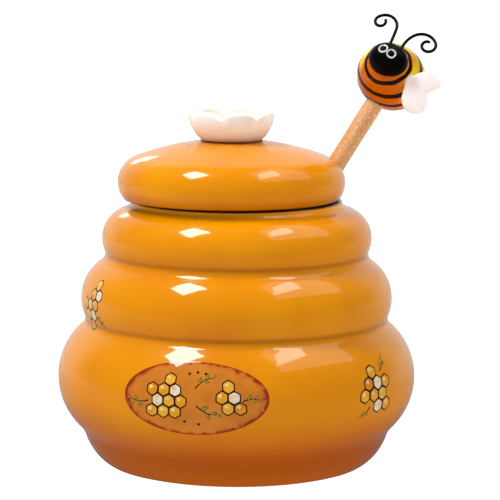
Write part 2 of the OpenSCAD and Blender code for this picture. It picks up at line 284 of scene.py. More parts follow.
def place(thing, body, slot, *nodes):
    """Ride on a body, and stand for any nodes that are named by hiding them. The slot is not used.
    """
    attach(thing, body)
    if nodes:
        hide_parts(*nodes)
    return thing


def bands(rings, sides, start=0):
    """Quads between rings of points that follow each other from a first index."""
    return [(a + k, a + (k + 1) % sides, a + sides + (k + 1) % sides, a + sides + k)
            for a in range(start, start + (rings - 1) * sides, sides) for k in range(sides)]


def fan(middle, start, sides):
    """Triangles between a ring of points, from a first index, and one in its middle."""
    return [(start + k, start + (k + 1) % sides, middle) for k in range(sides)]


def flipped(faces):
    return [face[::-1] for face in faces]


def revolve(line, steps=TURN_STEPS):
    """Turn a line of (radius, height), which starts on the axis, about Z. Gives points, faces and
    each point's place in the line."""
    closed = line[-1][0] < AXIS_R
    points = [(0.0, 0.0, line[0][1])]
    owner = [0]
    angles = np.linspace(0.0, 2 * math.pi, steps, endpoint=False)
    for i, (r, z) in enumerate(line[1:len(line) - closed], 1):
        points += [(r * math.cos(a), r * math.sin(a), z) for a in angles]
        owner += [i] * steps
    faces = flipped(fan(0, 1, steps)) + bands(len(line) - 1 - closed, steps, 1)
    if closed:
        faces += fan(len(points), len(points) - steps, steps)
        points.append((0.0, 0.0, line[-1][1]))
        owner.append(len(line) - 1)
    return np.array(points), faces, np.array(owner)


def rounded(line, radius, steps=4):
    """Round the corners of a line of points, all but its two ends."""
    points = [np.array(p, float) for p in line]
    out = [tuple(points[0])]
    for before, corner, after in zip(points[:-2], points[1:-1], points[2:]):
        a = before - corner
        b = after - corner
        reach = min(radius, 0.45 * np.linalg.norm(a), 0.45 * np.linalg.norm(b))
        start = corner + a / np.linalg.norm(a) * reach
        end = corner + b / np.linalg.norm(b) * reach
        for t in np.linspace(0.0, 1.0, steps + 1):
            out.append(tuple((1 - t) ** 2 * start + 2 * t * (1 - t) * corner + t * t * end))
    out.append(tuple(points[-1]))
    return out


def tube(path, radius, sides, closed=False):
    """Points and faces of a round tube along a path, with domed ends unless it is closed."""
    path = np.asarray(path, float)
    if closed:
        tangents = np.roll(path, -1, 0) - np.roll(path, 1, 0)
    else:
        tangents = np.gradient(path, axis=0)
    tangents /= np.linalg.norm(tangents, axis=1)[:, None]
    across = np.cross(tangents[0], ANY_WAY)
    rings = []
    for middle, tangent in zip(path, tangents):
        across = across - tangent * np.dot(across, tangent)
        across = across / np.linalg.norm(across)
        rings.append((middle, tangent, across, radius))
    first = rings[0]
    last = rings[-1]
    bends = [math.radians(90.0 * k / TIP_RINGS) for k in range(1, TIP_RINGS)]
    if not closed:
        start = [(first[0] - first[1] * radius * math.sin(b), first[1], first[2],
                  radius * math.cos(b)) for b in bends[::-1]]
        end = [(last[0] + last[1] * radius * math.sin(b), last[1], last[2],
                radius * math.cos(b)) for b in bends]
        rings = start + rings + end
    turns = np.linspace(0.0, 2 * math.pi, sides, endpoint=False)
    points = [middle + r * (math.cos(a) * across + math.sin(a) * np.cross(tangent, across))
              for middle, tangent, across, r in rings for a in turns]
    faces = bands(len(rings), sides)
    row = len(points) - sides
    if closed:
        faces += [(row + k, row + (k + 1) % sides, (k + 1) % sides, k) for k in range(sides)]
        return np.array(points), faces
    tip = radius * (1 - math.sin(bends[-1]))
    points += [rings[0][0] - first[1] * tip, rings[-1][0] + last[1] * tip]
    faces += flipped(fan(len(points) - 2, 0, sides)) + fan(len(points) - 1, row, sides)
    return np.array(points), faces


def smooth(value, low, high):
    """0 below low, 1 above high, and smooth between them."""
    t = np.clip((np.asarray(value, float) - low) / (high - low), 0.0, 1.0)
    return t * t * (3 - 2 * t)


# ---------------------------------------------------------------- materials

TONES = {
    "honey": "dc8c00", "honey_shade": "d68200", "honey_streak": "c66a00", "honey_low": "a04400",
    "honey_pool": "8a4200", "honey_thin": "ef9a08", "seam": "2c1002", "honey_speck": "8a4a08",
    "clay": "e9d9bf", "clay_shade": "d6c3a4", "burnt": "5a2404",
    "cream": "fffdf9", "cream_shade": "f8f0e6", "cream_pool": "c98f4e", "cream_speck": "a9814e",
    "pollen": "f2bd25", "pollen_shade": "e0a012", "pollen_pit": "9c5a0c",
    "beech": "ebb077", "beech_shade": "dc9a60", "beech_grain": "c4854f", "beech_fleck": "a0622f",
    "beech_pale": "f7d9b2",
    "bee_low": "cc5e00", "bee_middle": "ea9204", "bee_top": "f4cc10", "bee_cloud": "c65402",
    "bee_ring": "200602",
    "black": "040405", "black_shade": "0a0a0c", "wire": "040404", "wire_worn": "121110",
    "eye": "d6d3cf", "eye_shade": "b8b4b0",
    "wing": "fffaf8", "wing_shade": "fbeae6", "wing_pool": "d9a57e",
    "brushed": "d2b48c", "panel": "c87824", "panel_shade": "bc6c1c", "panel_rust": "b4501a",
    "panel_edge": "8c2a10", "floor": "6e6d6c", "floor_shade": "6a6968",
    "outline": "2e1004", "leaf": "7f8b2c", "leaf_light": "b6b552", "stem": "3a2c0a",
    "glint": "fbe9b4", "cell_gold": "f0b323", "cell_yellow": "f6c53c", "cell_orange": "e89a1c",
    "cell_white": "f4efe2"}


def rgb(tone):
    """Linear colour of a named tone."""
    parts = [int(TONES[tone][i:i + 2], 16) / 255.0 for i in (0, 2, 4)]
    linear = [c / 12.92 if c <= 0.04045 else ((c + 0.055) / 1.055) ** 2.4 for c in parts]
    return (*linear, 1.0)


class Look:
    """A node material in the making. Its methods add nodes and give their outputs. Scales count
    features per metre, and bumps are in metres."""

    def __init__(self, name, settings):
        self.material = bpy.data.materials.new(name)
        self.material.use_nodes = True
        self.tree = self.material.node_tree
        self.shader = self.tree.nodes["Principled BSDF"]
        for socket, value in settings.items():
            self.shader.inputs[socket].default_value = value
        self.place = self.node("ShaderNodeTexCoord").outputs["Object"]

    def node(self, kind, **options):
        new = self.tree.nodes.new(kind)
        for key, value in options.items():
            setattr(new, key, value)
        return new

    def give(self, socket, value):
        if isinstance(value, bpy.types.NodeSocket):
            self.tree.links.new(value, socket)
        else:
            socket.default_value = value

    def attribute(self, name, output="Fac"):
        return self.node("ShaderNodeAttribute", attribute_name=name).outputs[output]

    def noise(self, scale, detail, vector=None):
        new = self.node("ShaderNodeTexNoise")
        self.give(new.inputs["Vector"], vector or self.place)
        new.inputs["Scale"].default_value = scale
        new.inputs["Detail"].default_value = detail
        return new.outputs["Fac"]

    def spots(self, scale, vector=None):
        """Distance to the nearest of many scattered points."""
        new = self.node("ShaderNodeTexVoronoi")
        self.give(new.inputs["Vector"], vector or self.place)
        new.inputs["Scale"].default_value = scale
        return new.outputs["Distance"]

    def stretch(self, vector, along):
        """A place whose third coordinate is scaled, so that what it carries is drawn out."""
        new = self.node("ShaderNodeVectorMath", operation="MULTIPLY")
        self.give(new.inputs[0], vector)
        new.inputs[1].default_value = (1.0, 1.0, along)
        return new.outputs["Vector"]

    def span(self, value, low, high, to_low=0.0, to_high=1.0):
        """Map low..high smoothly to to_low..to_high."""
        new = self.node("ShaderNodeMapRange", interpolation_type="SMOOTHSTEP")
        self.give(new.inputs["Value"], value)
        for socket, number in (("From Min", low), ("From Max", high), ("To Min", to_low),
                               ("To Max", to_high)):
            new.inputs[socket].default_value = number
        return new.outputs["Result"]

    def maths(self, operation, a, b=0.0):
        new = self.node("ShaderNodeMath", operation=operation)
        self.give(new.inputs[0], a)
        self.give(new.inputs[1], b)
        return new.outputs["Value"]

    def mix(self, amount, a, b):
        new = self.node("ShaderNodeMix", data_type="RGBA")
        self.give(new.inputs[0], amount)
        self.give(new.inputs[6], a)
        self.give(new.inputs[7], b)
        return new.outputs[2]

    def over(self, colour, tone, amount, strength=None):
        """A tone laid over a colour as far as an amount says."""
        if strength is not None:
            amount = self.maths("MULTIPLY", amount, strength)
        return self.mix(amount, colour, rgb(tone))

    def clouds(self, tone, shade, scale, detail=3.0, low=0.3, high=0.7):
        """Soft clouds of a shade in a tone."""
        return self.mix(self.span(self.noise(scale, detail), low, high), rgb(tone), rgb(shade))

    def specks(self, scale, edge, patches, gate):
        """Fine specks that gather in patches."""
        speck = self.span(self.spots(scale), *edge)
        return self.maths("MULTIPLY", speck, self.span(self.noise(patches, 2.0), *gate))

    def rough(self, scale, least, most):
        """Uneven roughness."""
        return self.span(self.noise(scale, 2.0), 0.3, 0.7, least, most)

    def bump(self, height, distance, normal=None):
        new = self.node("ShaderNodeBump")
        self.give(new.inputs["Height"], height)
        new.inputs["Distance"].default_value = distance
        if normal is not None:
            self.give(new.inputs["Normal"], normal)
        return new.outputs["Normal"]

    def ripple(self, scale, distance, normal=None, detail=2.0):
        """Bumps of a noise."""
        return self.bump(self.noise(scale, detail), distance, normal)

    def finish(self, colour, roughness, normal):
        self.give(self.shader.inputs["Base Color"], colour)
        self.give(self.shader.inputs["Roughness"], roughness)
        self.give(self.shader.inputs["Normal"], normal)
        return self.material


GLOSS = {"Coat Weight": 0.6, "Coat Roughness": 0.03, "Specular IOR Level": 0.05}
# Waves of the thrown wall under the glaze, shared by the glaze and what is painted on it
WALL_WAVES = (26.0, 0.0006)


def amber_glaze():
    """Honey-coloured glaze. Painted shade darkens it towards the foot and at the lid's lower edge,
    pooled glaze and painted shade make it brown in the grooves, painted light makes it golden on
    the shoulder under the lid, a painted shadow makes it nearly black at the seam of the lid, and
    it is burnt where it ends on bare clay."""
    look = Look("amber_glaze", GLOSS)
    colour = look.clouds("honey", "honey_shade", 28.0)
    streak = look.span(look.noise(60.0, 4.0, look.stretch(look.place, 0.25)), 0.5, 0.8)
    colour = look.over(colour, "honey_streak", streak, 0.35)
    # Painted shade: darker towards the foot, inside the pot, at the lid's lower edge and on the
    # bead
    colour = look.over(colour, "honey_low", look.attribute("deep"), 0.9)
    # Pooled glaze with painted shade: brown in the grooves, on the rim's edge, at the flower's
    # foot and on the bead
    colour = look.over(colour, "honey_pool", look.attribute("pool"), 0.5)
    # Painted light: golden on the shoulder just under the lid, which shades it
    colour = look.over(colour, "honey_thin", look.attribute("thin"))
    # Painted shadow: nearly black at the seam under the lid
    colour = look.over(colour, "seam", look.attribute("seam"))
    speck = look.specks(700.0, (0.12, 0.05), 180.0, (0.55, 0.7))
    colour = look.over(colour, "honey_speck", speck, 0.5)
    bare = look.attribute("bare")
    edge = look.span(look.maths("ABSOLUTE", look.maths("SUBTRACT", bare, 0.35)), 0.3, 0.0)
    clay = look.mix(look.noise(400.0, 4.0), rgb("clay"), rgb("clay_shade"))
    colour = look.mix(look.span(bare, 0.4, 0.6), colour, clay)
    colour = look.over(colour, "burnt", edge, 0.8)
    matt = look.maths("MULTIPLY", look.span(bare, 0.4, 0.6), 0.5)
    rough = look.maths("ADD", look.rough(120.0, 0.16, 0.24), matt)
    return look.finish(colour, rough, look.ripple(420.0, 0.000012, look.ripple(*WALL_WAVES)))


def white_glaze():
    """Cream-white glaze, with painted shade and a painted amber reflection that make it tan low on
    the flower's outer wall, and painted shade down in its cup.
    """
    look = Look("white_glaze", {**GLOSS, "Subsurface Weight": 0.12, "Subsurface Scale": 0.002,
                                "Subsurface Radius": (1.0, 0.8, 0.6)})
    colour = look.clouds("cream", "cream_shade", 90.0, 3.0, 0.35)
    # Painted shade and painted amber reflection on the flower
    colour = look.over(colour, "cream_pool", look.attribute("pool"), 0.8)
    speck = look.specks(900.0, (0.1, 0.04), 250.0, (0.6, 0.72))
    colour = look.over(colour, "cream_speck", speck, 0.4)
    normal = look.ripple(700.0, 0.00001, look.ripple(140.0, 0.00022))
    return look.finish(colour, look.rough(200.0, 0.2, 0.3), normal)


def yellow_glaze():
    """Yellow glaze, with painted shade that makes it brown in the pits between the stamens."""
    look = Look("yellow_glaze", GLOSS)
    colour = look.clouds("pollen", "pollen_shade", 300.0)
    # Painted shade in the pits
    colour = look.over(colour, "pollen_pit", look.attribute("pool"))
    pits = look.ripple(900.0, 0.00005, None, 3.0)
    return look.finish(colour, look.rough(500.0, 0.25, 0.4), pits)


def light_wood():
    """Beech: fine grain along the stick, with short dark and pale flecks. Its places are in
    millimetres along the piece's own axis."""
    look = Look("light_wood", {"Specular IOR Level": 0.35})
    grain = look.attribute("grain", "Vector")
    broad = look.span(look.noise(0.5, 4.0, look.stretch(grain, 0.07)), 0.3, 0.7)
    colour = look.mix(broad, rgb("beech"), rgb("beech_shade"))
    fine = look.noise(3.0, 3.0, look.stretch(grain, 0.05))
    colour = look.over(colour, "beech_grain", look.span(fine, 0.45, 0.75, 0.0, 0.55))
    fleck = look.span(look.spots(1.3, look.stretch(grain, 0.5)), 0.26, 0.1)
    fleck = look.maths("MULTIPLY", fleck, look.span(look.noise(0.9, 2.0, grain), 0.36, 0.52))
    colour = look.over(colour, "beech_fleck", fleck, 0.75)
    pale = look.span(look.noise(2.4, 3.0, look.stretch(grain, 0.45)), 0.52, 0.66)
    colour = look.over(colour, "beech_pale", pale, 0.6)
    height = look.maths("SUBTRACT", look.maths("MULTIPLY", fine, 0.5), fleck)
    return look.finish(colour, look.span(fine, 0.3, 0.7, 0.45, 0.62), look.bump(height, 0.00009))


def bee_glaze():
    """Airbrushed orange and yellow with hand-painted dark rings about the face's axis."""
    look = Look("bee_glaze", {**GLOSS, "Coat Weight": 0.45})
    drift = look.span(look.noise(90.0, 3.0), 0.2, 0.8, -0.2, 0.2)
    up = look.maths("ADD", look.attribute("up"), drift)
    colour = look.mix(look.span(up, -0.3, 0.35), rgb("bee_low"), rgb("bee_middle"))
    colour = look.over(colour, "bee_top", look.span(up, 0.15, 0.6))
    cloud = look.span(look.noise(160.0, 4.0), 0.45, 0.8)
    colour = look.over(colour, "bee_cloud", cloud, 0.4)
    sway = look.span(look.noise(110.0, 2.0), 0.2, 0.8, -1.6, 1.6)
    polar = look.maths("ADD", look.attribute("polar"), sway)
    dark = None
    for middle, half in STRIPES:
        off = look.maths("ABSOLUTE", look.maths("SUBTRACT", polar, middle))
        line = look.span(off, half + 0.5, half - 0.3)
        dark = line if dark is None else look.maths("MAXIMUM", dark, line)
    colour = look.over(colour, "bee_ring", dark)
    normal = look.bump(dark, 0.00003, look.ripple(120.0, 0.0003))
    return look.finish(colour, look.rough(240.0, 0.16, 0.28), normal)


def black_glaze():
    """Deep black glaze that mirrors next to nothing."""
    look = Look("black_glaze", {"Coat Weight": 0.03, "Coat Roughness": 0.2,
                                "Specular IOR Level": 0.04})
    colour = look.clouds("black", "black_shade", 150.0, 3.0, 0.4, 0.8)
    normal = look.ripple(800.0, 0.00001, look.ripple(160.0, 0.0002))
    return look.finish(colour, look.rough(260.0, 0.3, 0.42), normal)


def eye_grey():
    """Pale grey paint of the ring eyes."""
    look = Look("eye_grey", {"Coat Weight": 0.6, "Coat Roughness": 0.1, "Specular IOR Level": 0.3})
    colour = look.clouds("eye", "eye_shade", 700.0)
    return look.finish(colour, look.rough(500.0, 0.25, 0.4), look.ripple(900.0, 0.00003))


def wing_glaze():
    """Pinkish white glaze of the wings."""
    look = Look("wing_glaze", GLOSS)
    colour = look.clouds("wing", "wing_shade", 120.0)
    # Painted shade, darker towards the root where the wing meets the body
    colour = look.over(colour, "wing_pool", look.attribute("pool"), 0.7)
    return look.finish(colour, look.rough(260.0, 0.2, 0.3), look.ripple(200.0, 0.00015))


def black_wire():
    """Black enamel on wire, a little worn along its length."""
    look = Look("black_wire", {"Metallic": 0.0, "Specular IOR Level": 0.1})
    colour = look.clouds("wire", "wire_worn", 500.0, 4.0, 0.6, 0.8)
    normal = look.ripple(1500.0, 0.00004, None, 3.0)
    return look.finish(colour, look.rough(900.0, 0.28, 0.45), normal)


def painted(name):
    """Underglaze paint in the colour stored on each point, with brushed unevenness."""
    look = Look(name, GLOSS)
    shade = look.span(look.noise(420.0, 4.0), 0.35, 0.75)
    dark = look.node("ShaderNodeMix", data_type="RGBA", blend_type="MULTIPLY")
    look.give(dark.inputs[0], look.maths("ADD", look.maths("MULTIPLY", shade, 0.4), 0.5))
    look.give(dark.inputs[6], look.attribute("paint", "Color"))
    dark.inputs[7].default_value = rgb("brushed")
    normal = look.bump(shade, 0.00001, look.ripple(*WALL_WAVES))
    return look.finish(dark.outputs[2], look.rough(300.0, 0.16, 0.26), normal)


def panel_ground():
    """Tan ground of the oval, with a rust-red brushed border."""
    look = Look("panel_ground", GLOSS)
    cloud = look.span(look.noise(130.0, 4.0), 0.3, 0.7)
    colour = look.mix(cloud, rgb("panel"), rgb("panel_shade"))
    ragged = look.span(look.noise(450.0, 4.0), 0.25, 0.75, -0.045, 0.045)
    edge = look.maths("ADD", look.attribute("edge"), ragged)
    colour = look.over(colour, "panel_rust", look.span(edge, 0.88, 0.95, 0.0, 0.75))
    colour = look.over(colour, "panel_edge", look.span(edge, 0.93, 0.975))
    normal = look.bump(cloud, 0.000008, look.ripple(*WALL_WAVES))
    return look.finish(colour, look.rough(300.0, 0.16, 0.26), normal)


# The floor glows evenly. Its mirror image in the glaze is dimmer, and brightens from just in
# front of the pot to well behind it, in metres
GLOW = 1.2
MIRROR_FRONT = 0.06
MIRROR_BACK = 0.55
MIRROR_FROM = -0.1
MIRROR_TO = 0.5


def studio_floor():
    """Matt pale sweep with the faintest mottling."""
    look = Look("studio_floor", {"Specular IOR Level": 0.1})
    look.shader.inputs["Emission Color"].default_value = (1.0, 1.0, 1.0, 1.0)
    colour = look.clouds("floor", "floor_shade", 3.0)
    behind = look.node("ShaderNodeVectorMath", operation="DOT_PRODUCT")
    look.give(behind.inputs[0], look.place)
    behind.inputs[1].default_value = BACKWARDS
    mirror = look.span(behind.outputs["Value"], MIRROR_FROM, MIRROR_TO, MIRROR_FRONT, MIRROR_BACK)
    glow = look.node("ShaderNodeMix")
    look.give(glow.inputs[0], look.node("ShaderNodeLightPath").outputs["Is Glossy Ray"])
    glow.inputs[2].default_value = GLOW
    look.give(glow.inputs[3], mirror)
    look.give(look.shader.inputs["Emission Strength"], glow.outputs[0])
    return look.finish(colour, 0.85, look.ripple(60.0, 0.0002, None, 3.0))


AMBER = amber_glaze()
WHITE = white_glaze()
YELLOW = yellow_glaze()
WOOD = light_wood()
BEE = bee_glaze()
BLACK = black_glaze()
EYE_GREY = eye_grey()
WING_WHITE = wing_glaze()
WIRE = black_wire()
PAINT = painted("underglaze_paint")
GROUND = panel_ground()


# ---------------------------------------------------------------- pot

def outer_line():
    """The wall's outer line, with a fillet where the top ring runs into the neck."""
    ring_r, ring_z, ring_round = RINGS[3]
    ring_round -= SKIN
    wall = NECK_R - SKIN
    reach = wall + NECK_FILLET - ring_r
    middle = (wall + NECK_FILLET, ring_z + math.sqrt((ring_round + NECK_FILLET) ** 2 - reach ** 2))
    meets = ring_r + ring_round * reach / (ring_round + NECK_FILLET)
    line = wall_line(SKIN, FOOT_H, meets, 44, 12)
    start = bearing(middle, (ring_r, ring_z)) % 360.0
    stop = 180.0 + math.degrees(math.asin((middle[1] - RIM_Z + NECK_EDGE) / NECK_FILLET))
    return np.array(line + arc(middle[0], middle[1], NECK_FILLET, start, stop, 10)[1:])


OUTER = outer_line()


def along(line):
    """Distance from the start of a line to each of its points."""
    steps = np.hypot(*np.diff(np.asarray(line), axis=0).T)
    return np.concatenate([[0.0], np.cumsum(steps)])


OUTER_AT = along(OUTER)
GROOVE_AT = [OUTER_AT[np.argmin(np.hypot(OUTER[:, 0] - m[0] + g, OUTER[:, 1] - m[1]))]
             for m, g in zip(GROOVE_MIDDLES, GROOVES)]


# Waves of the wall as (size, waves round the pot, start, change with height), and their depth
WAVES = [(1.0, 2, 0.9, 0.031), (0.6, 3, 4.0, -0.052), (0.3, 5, 0.0, 0.11)]
WAVE_DEPTH = 0.11


def hand_made(angle, height):
    """Inward waviness of the thrown wall, in millimetres."""
    wave = sum(size * np.sin(turns * angle + start + rise * height)
               for size, turns, start, rise in WAVES)
    return -WAVE_DEPTH * (1.0 + wave / sum(size for size, *_ in WAVES))


def pooled(at):
    """How much pooled glaze and painted shade darken the wall in its grooves, at a distance along
    the wall's outer line.
    """
    pool = np.exp(-((at - GROOVE_AT[1]) / 0.9) ** 2) + np.exp(-((at - GROOVE_AT[2]) / 0.9) ** 2)
    return np.clip(pool + 0.35 * np.exp(-((at - GROOVE_AT[0]) / 3.0) ** 2), 0.0, 1.0)


# Heights between which painted shade darkens the glaze towards the foot, the painted shade
# inside, and the height and half width of the painted light on the shoulder under the lid
DEEP_FROM = 12.0
DEEP_TO = 32.0
DEEP_INSIDE = 0.15
THIN_Z = 96.2
THIN_HALF = 1.5
# Heights over which the waviness of the wall starts above the foot and ends under the rim
WAVES_FROM = (2.0, 8.0)
WAVES_TO = (8.0, 0.5)


def build_pot():
    """The whole shell: inside, rim, outer wall and foot ring as one turned line, made uneven."""
    edge_z = RIM_Z - RIM_EDGE
    inner = wall_line(POT_WALL, FLOOR_T, MOUTH_R, 28, 8)
    rim = (arc(MOUTH_R + RIM_EDGE, edge_z, RIM_EDGE, 180, 90, 6)
           + arc(NECK_R - SKIN - NECK_EDGE, RIM_Z - NECK_EDGE, NECK_EDGE, 90, 0, 6))
    foot = rounded([tuple(OUTER[0]), (FOOT_R, FOOT_H), (FOOT_R, 0.0), (FOOT_R - FOOT_W, 0.0),
                    (FOOT_R - FOOT_W, FOOT_H), (0.0, FOOT_H)], 0.5)
    line = [(0.0, FLOOR_T)] + inner + rim + [tuple(p) for p in OUTER[::-1]] + foot[1:]
    points, faces, owner = revolve(line)
    start = 1 + len(inner) + len(rim)
    stop = start + len(OUTER)
    at = np.zeros(len(line))
    at[start:stop] = OUTER_AT[::-1]
    outside = (owner >= start) & (owner < stop)
    heights = points[:, 2]
    angles = np.arctan2(points[:, 1], points[:, 0])
    radii = np.hypot(points[:, 0], points[:, 1])
    grow = np.where(outside, hand_made(angles, heights) * smooth(heights, *WAVES_FROM), 0.0)
    grow = grow * smooth(RIM_Z - heights, WAVES_TO[1], WAVES_TO[0])
    scale = 1.0 + grow / np.maximum(radii, 1.0)
    points[:, :2] *= scale[:, None]
    # Pooled glaze with painted shade in the grooves
    pool = np.where(outside, pooled(at[owner]), 0.0)
    # Painted shade: darker towards the foot outside, and a little inside the pot
    deep = np.where(outside, smooth(-heights, -DEEP_TO, -DEEP_FROM), DEEP_INSIDE)
    bare = np.zeros(len(points))
    on_rim = (owner >= 1 + len(inner)) & (owner < start)
    bare[on_rim & (heights > RIM_Z - 0.3) & (radii < NECK_R - 2.5)] = 1.0
    edge = on_rim & (radii > NECK_R - 1.4)
    # Painted shade on the rim's outer edge, under the lid
    pool[edge] = smooth(heights[edge], RIM_Z - 0.4, RIM_Z - 0.2)
    under = (owner >= stop) & (radii < FOOT_R + 1.0) & (radii > FOOT_R - FOOT_W - 1.5)
    bare[under & (heights < FOOT_H / 2)] = 1.0
    # Painted shadow in the gap at the seam under the lid
    seam = np.where(outside | on_rim, smooth(heights, RIM_Z - 0.7, RIM_Z - 0.3), 0.0)
    # Painted light on the shoulder under the lid
    thin = np.where(outside, np.exp(-((heights - THIN_Z) / THIN_HALF) ** 2), 0.0)
    pot = mesh_object("pot_body", points, flipped(faces), AMBER)
    set_glaze(pot, pool=pool, deep=deep, bare=bare, seam=seam, thin=thin)
    return place(pot, "pot", "amber_glaze", "pot")


build_pot()


# ---------------------------------------------------------------- painted places on the pot

TANGENT_STEP = 0.2


def on_wall(turn, at, lift):
    """Point of the wall at a turn from the front and a distance along its line, and lifted off."""
    r, z = (np.interp(at, OUTER_AT, column) for column in OUTER.T)
    before = [np.interp(at - TANGENT_STEP, OUTER_AT, column) for column in OUTER.T]
    after = [np.interp(at + TANGENT_STEP, OUTER_AT, column) for column in OUTER.T]
    tangent_r = after[0] - before[0]
    tangent_z = after[1] - before[1]
    size = np.hypot(tangent_r, tangent_z)
    angle = np.radians(turn) - math.pi / 2
    r = r + hand_made(np.arctan2(np.sin(angle), np.cos(angle)), z) * smooth(z, *WAVES_FROM)
    r = r + lift * tangent_z / size
    z = z - lift * tangent_r / size
    return np.stack([r * np.cos(angle), r * np.sin(angle), z], -1)


class Painting:
    """Flat shapes, drawn in millimetres about a place on the wall and laid on it."""

    def __init__(self, turn, height, radius):
        self.turn = turn
        self.at = float(np.interp(height, OUTER[:, 1], OUTER_AT))
        self.radius = radius
        self.base = 0.0
        self.points = []
        self.faces = []
        self.colours = []

    def lay(self, u, v, lift):
        turn = self.turn + np.degrees(np.asarray(u) / self.radius)
        return on_wall(turn, self.at + np.asarray(v), self.base + lift)

    def patch(self, outline, colour, lift, rings=3):
        """A filled shape that its middle sees whole."""
        outline = np.asarray(outline, float)
        middle = outline.mean(0)
        base = len(self.points)
        self.points += list(self.lay(middle[:1], middle[1:], lift))
        count = len(outline)
        for k in range(1, rings + 1):
            ring = middle + (outline - middle) * k / rings
            self.points += list(self.lay(ring[:, 0], ring[:, 1], lift))
        self.faces += fan(base, base + 1, count) + flipped(bands(rings, count, base + 1))
        self.colours += [colour] * (len(self.points) - base)

    def stroke(self, path, widths, colour, lift):
        """A painted line of changing width."""
        path = np.asarray(path, float)
        tangent = np.gradient(path, axis=0)
        tangent /= np.linalg.norm(tangent, axis=1)[:, None]
        across = np.stack([-tangent[:, 1], tangent[:, 0]], -1) * np.asarray(widths)[:, None] / 2
        base = len(self.points)
        for side in (path + across, path, path - across):
            self.points += list(self.lay(side[:, 0], side[:, 1], lift))
        count = len(path)
        for i in range(count - 1):
            for k in (0, count):
                a = base + k + i
                self.faces.append((a, a + count, a + count + 1, a + 1))
        self.colours += [colour] * (3 * count)

    def cell(self, u, v, size, fill, seed):
        """A honeycomb cell: dark outline, fill, and a lighter glint."""
        sway = np.random.default_rng(seed)
        corners = np.radians(np.arange(6) * 60.0 + 30.0 + sway.uniform(-3, 3))
        sizes = size * (1 + sway.uniform(-0.05, 0.05, 6))
        ring = np.stack([u + sizes * np.cos(corners), v + sizes * np.sin(corners)], -1)
        ring = soft_outline(ring, 4)
        middle = ring.mean(0)
        self.patch(ring, OUTLINE, LAYER)
        self.patch(middle + (ring - middle) * 0.80, fill, 2 * LAYER)
        glint = middle + (ring - middle) * 0.28 + np.array([-0.22, 0.26]) * size
        self.patch(glint, GLINT, 3 * LAYER, 2)

    def leaf(self, u, v, length, width, lean):
        """A two-toned leaf with a dark outline and a middle vein."""
        t = np.linspace(0.0, 1.0, 15)
        half = np.sin(np.pi * t ** 0.8) * width / 2
        upper = np.stack([t * length, half], -1)
        lower = np.stack([t[::-1] * length, -half[::-1] * 0.9], -1)[1:-1]
        shape = turned(np.concatenate([upper, lower]), lean) + (u, v)
        middle = shape.mean(0)
        self.patch(shape, OUTLINE, LAYER, 4)
        self.patch(middle + (shape - middle) * (0.86, 0.74), LEAF, 2 * LAYER, 4)
        vein = turned(np.stack([t * length * 0.86 + 0.05 * length, 0 * t], -1), lean) + (u, v)
        self.stroke(vein, 0.30 * (1 - t) + 0.08, LEAF_LIGHT, 3 * LAYER)

    def build(self, name):
        thing = mesh_object(name, self.points, self.faces, PAINT)
        set_values(thing, "paint", self.colours, "FLOAT_COLOR")
        return place(thing, "pot", "amber_glaze")


def turned(points, degrees):
    a = math.radians(degrees)
    points = np.asarray(points, float)
    return np.stack([points[:, 0] * math.cos(a) - points[:, 1] * math.sin(a),
                     points[:, 0] * math.sin(a) + points[:, 1] * math.cos(a)], -1)


def soft_outline(corners, steps):
    """A closed outline with its corners rounded off."""
    out = []
    count = len(corners)
    for i in range(count):
        before = (corners[i - 1] + corners[i]) / 2
        after = (corners[(i + 1) % count] + corners[i]) / 2
        start = corners[i] + (before - corners[i]) * 0.35
        end = corners[i] + (after - corners[i]) * 0.35
        for t in np.linspace(0.0, 1.0, steps):
            out.append((1 - t) ** 2 * start + 2 * t * (1 - t) * corners[i] + t * t * end)
    return np.array(out)


# Thickness of one layer of paint, and of the oval's ground
LAYER = 0.03
GROUND_LIFT = 0.04
OUTLINE = rgb("outline")
LEAF = rgb("leaf")
LEAF_LIGHT = rgb("leaf_light")
STEM = rgb("stem")
GLINT = rgb("glint")
COMB_FILLS = [rgb("cell_gold"), rgb("cell_yellow"), rgb("cell_orange"), rgb("cell_white")]
PANEL_HALF = (26.5, 13.3)
# Turn and height of the oval's middle, and the wall's radius there
PANEL_AT = (2.05, 35.9)
PANEL_WALL_R = 65.5
PANEL_RINGS = 34
PANEL_SIDES = 120
CELL = 2.6
DOT_R = 0.5


def comb(painting, places, size, at=(0.0, 0.0)):
    """Cells at places counted in columns and rows of a honeycomb."""
    for k, (column, row, fill) in enumerate(places):
        u = at[0] + (column + 0.5 * (row % 2)) * size * 1.66
        v = at[1] + row * size * 1.44
        painting.cell(u, v, size, COMB_FILLS[fill], 40 + k)


def sprig(painting, u, v, lean, flip, size=1.0):
    """A curved stem with leaves on both sides."""
    t = np.linspace(0.0, 1.0, 16)
    stem = np.stack([t * 12.0 * size, flip * 2.6 * size * np.sin(t * 2.4)], -1)
    stem = turned(stem, lean) + (u, v)
    painting.stroke(stem, 0.5 - 0.25 * t, STEM, LAYER)
    for k, (place_at, side) in enumerate(((0.3, 1), (0.52, -1), (0.74, 1), (1.0, 0))):
        i = int(round(place_at * 15))
        reach = (4.6 - 0.5 * k) * size
        painting.leaf(stem[i, 0], stem[i, 1], reach, reach * 0.46,
                      lean + flip * 18 * place_at + side * 46)


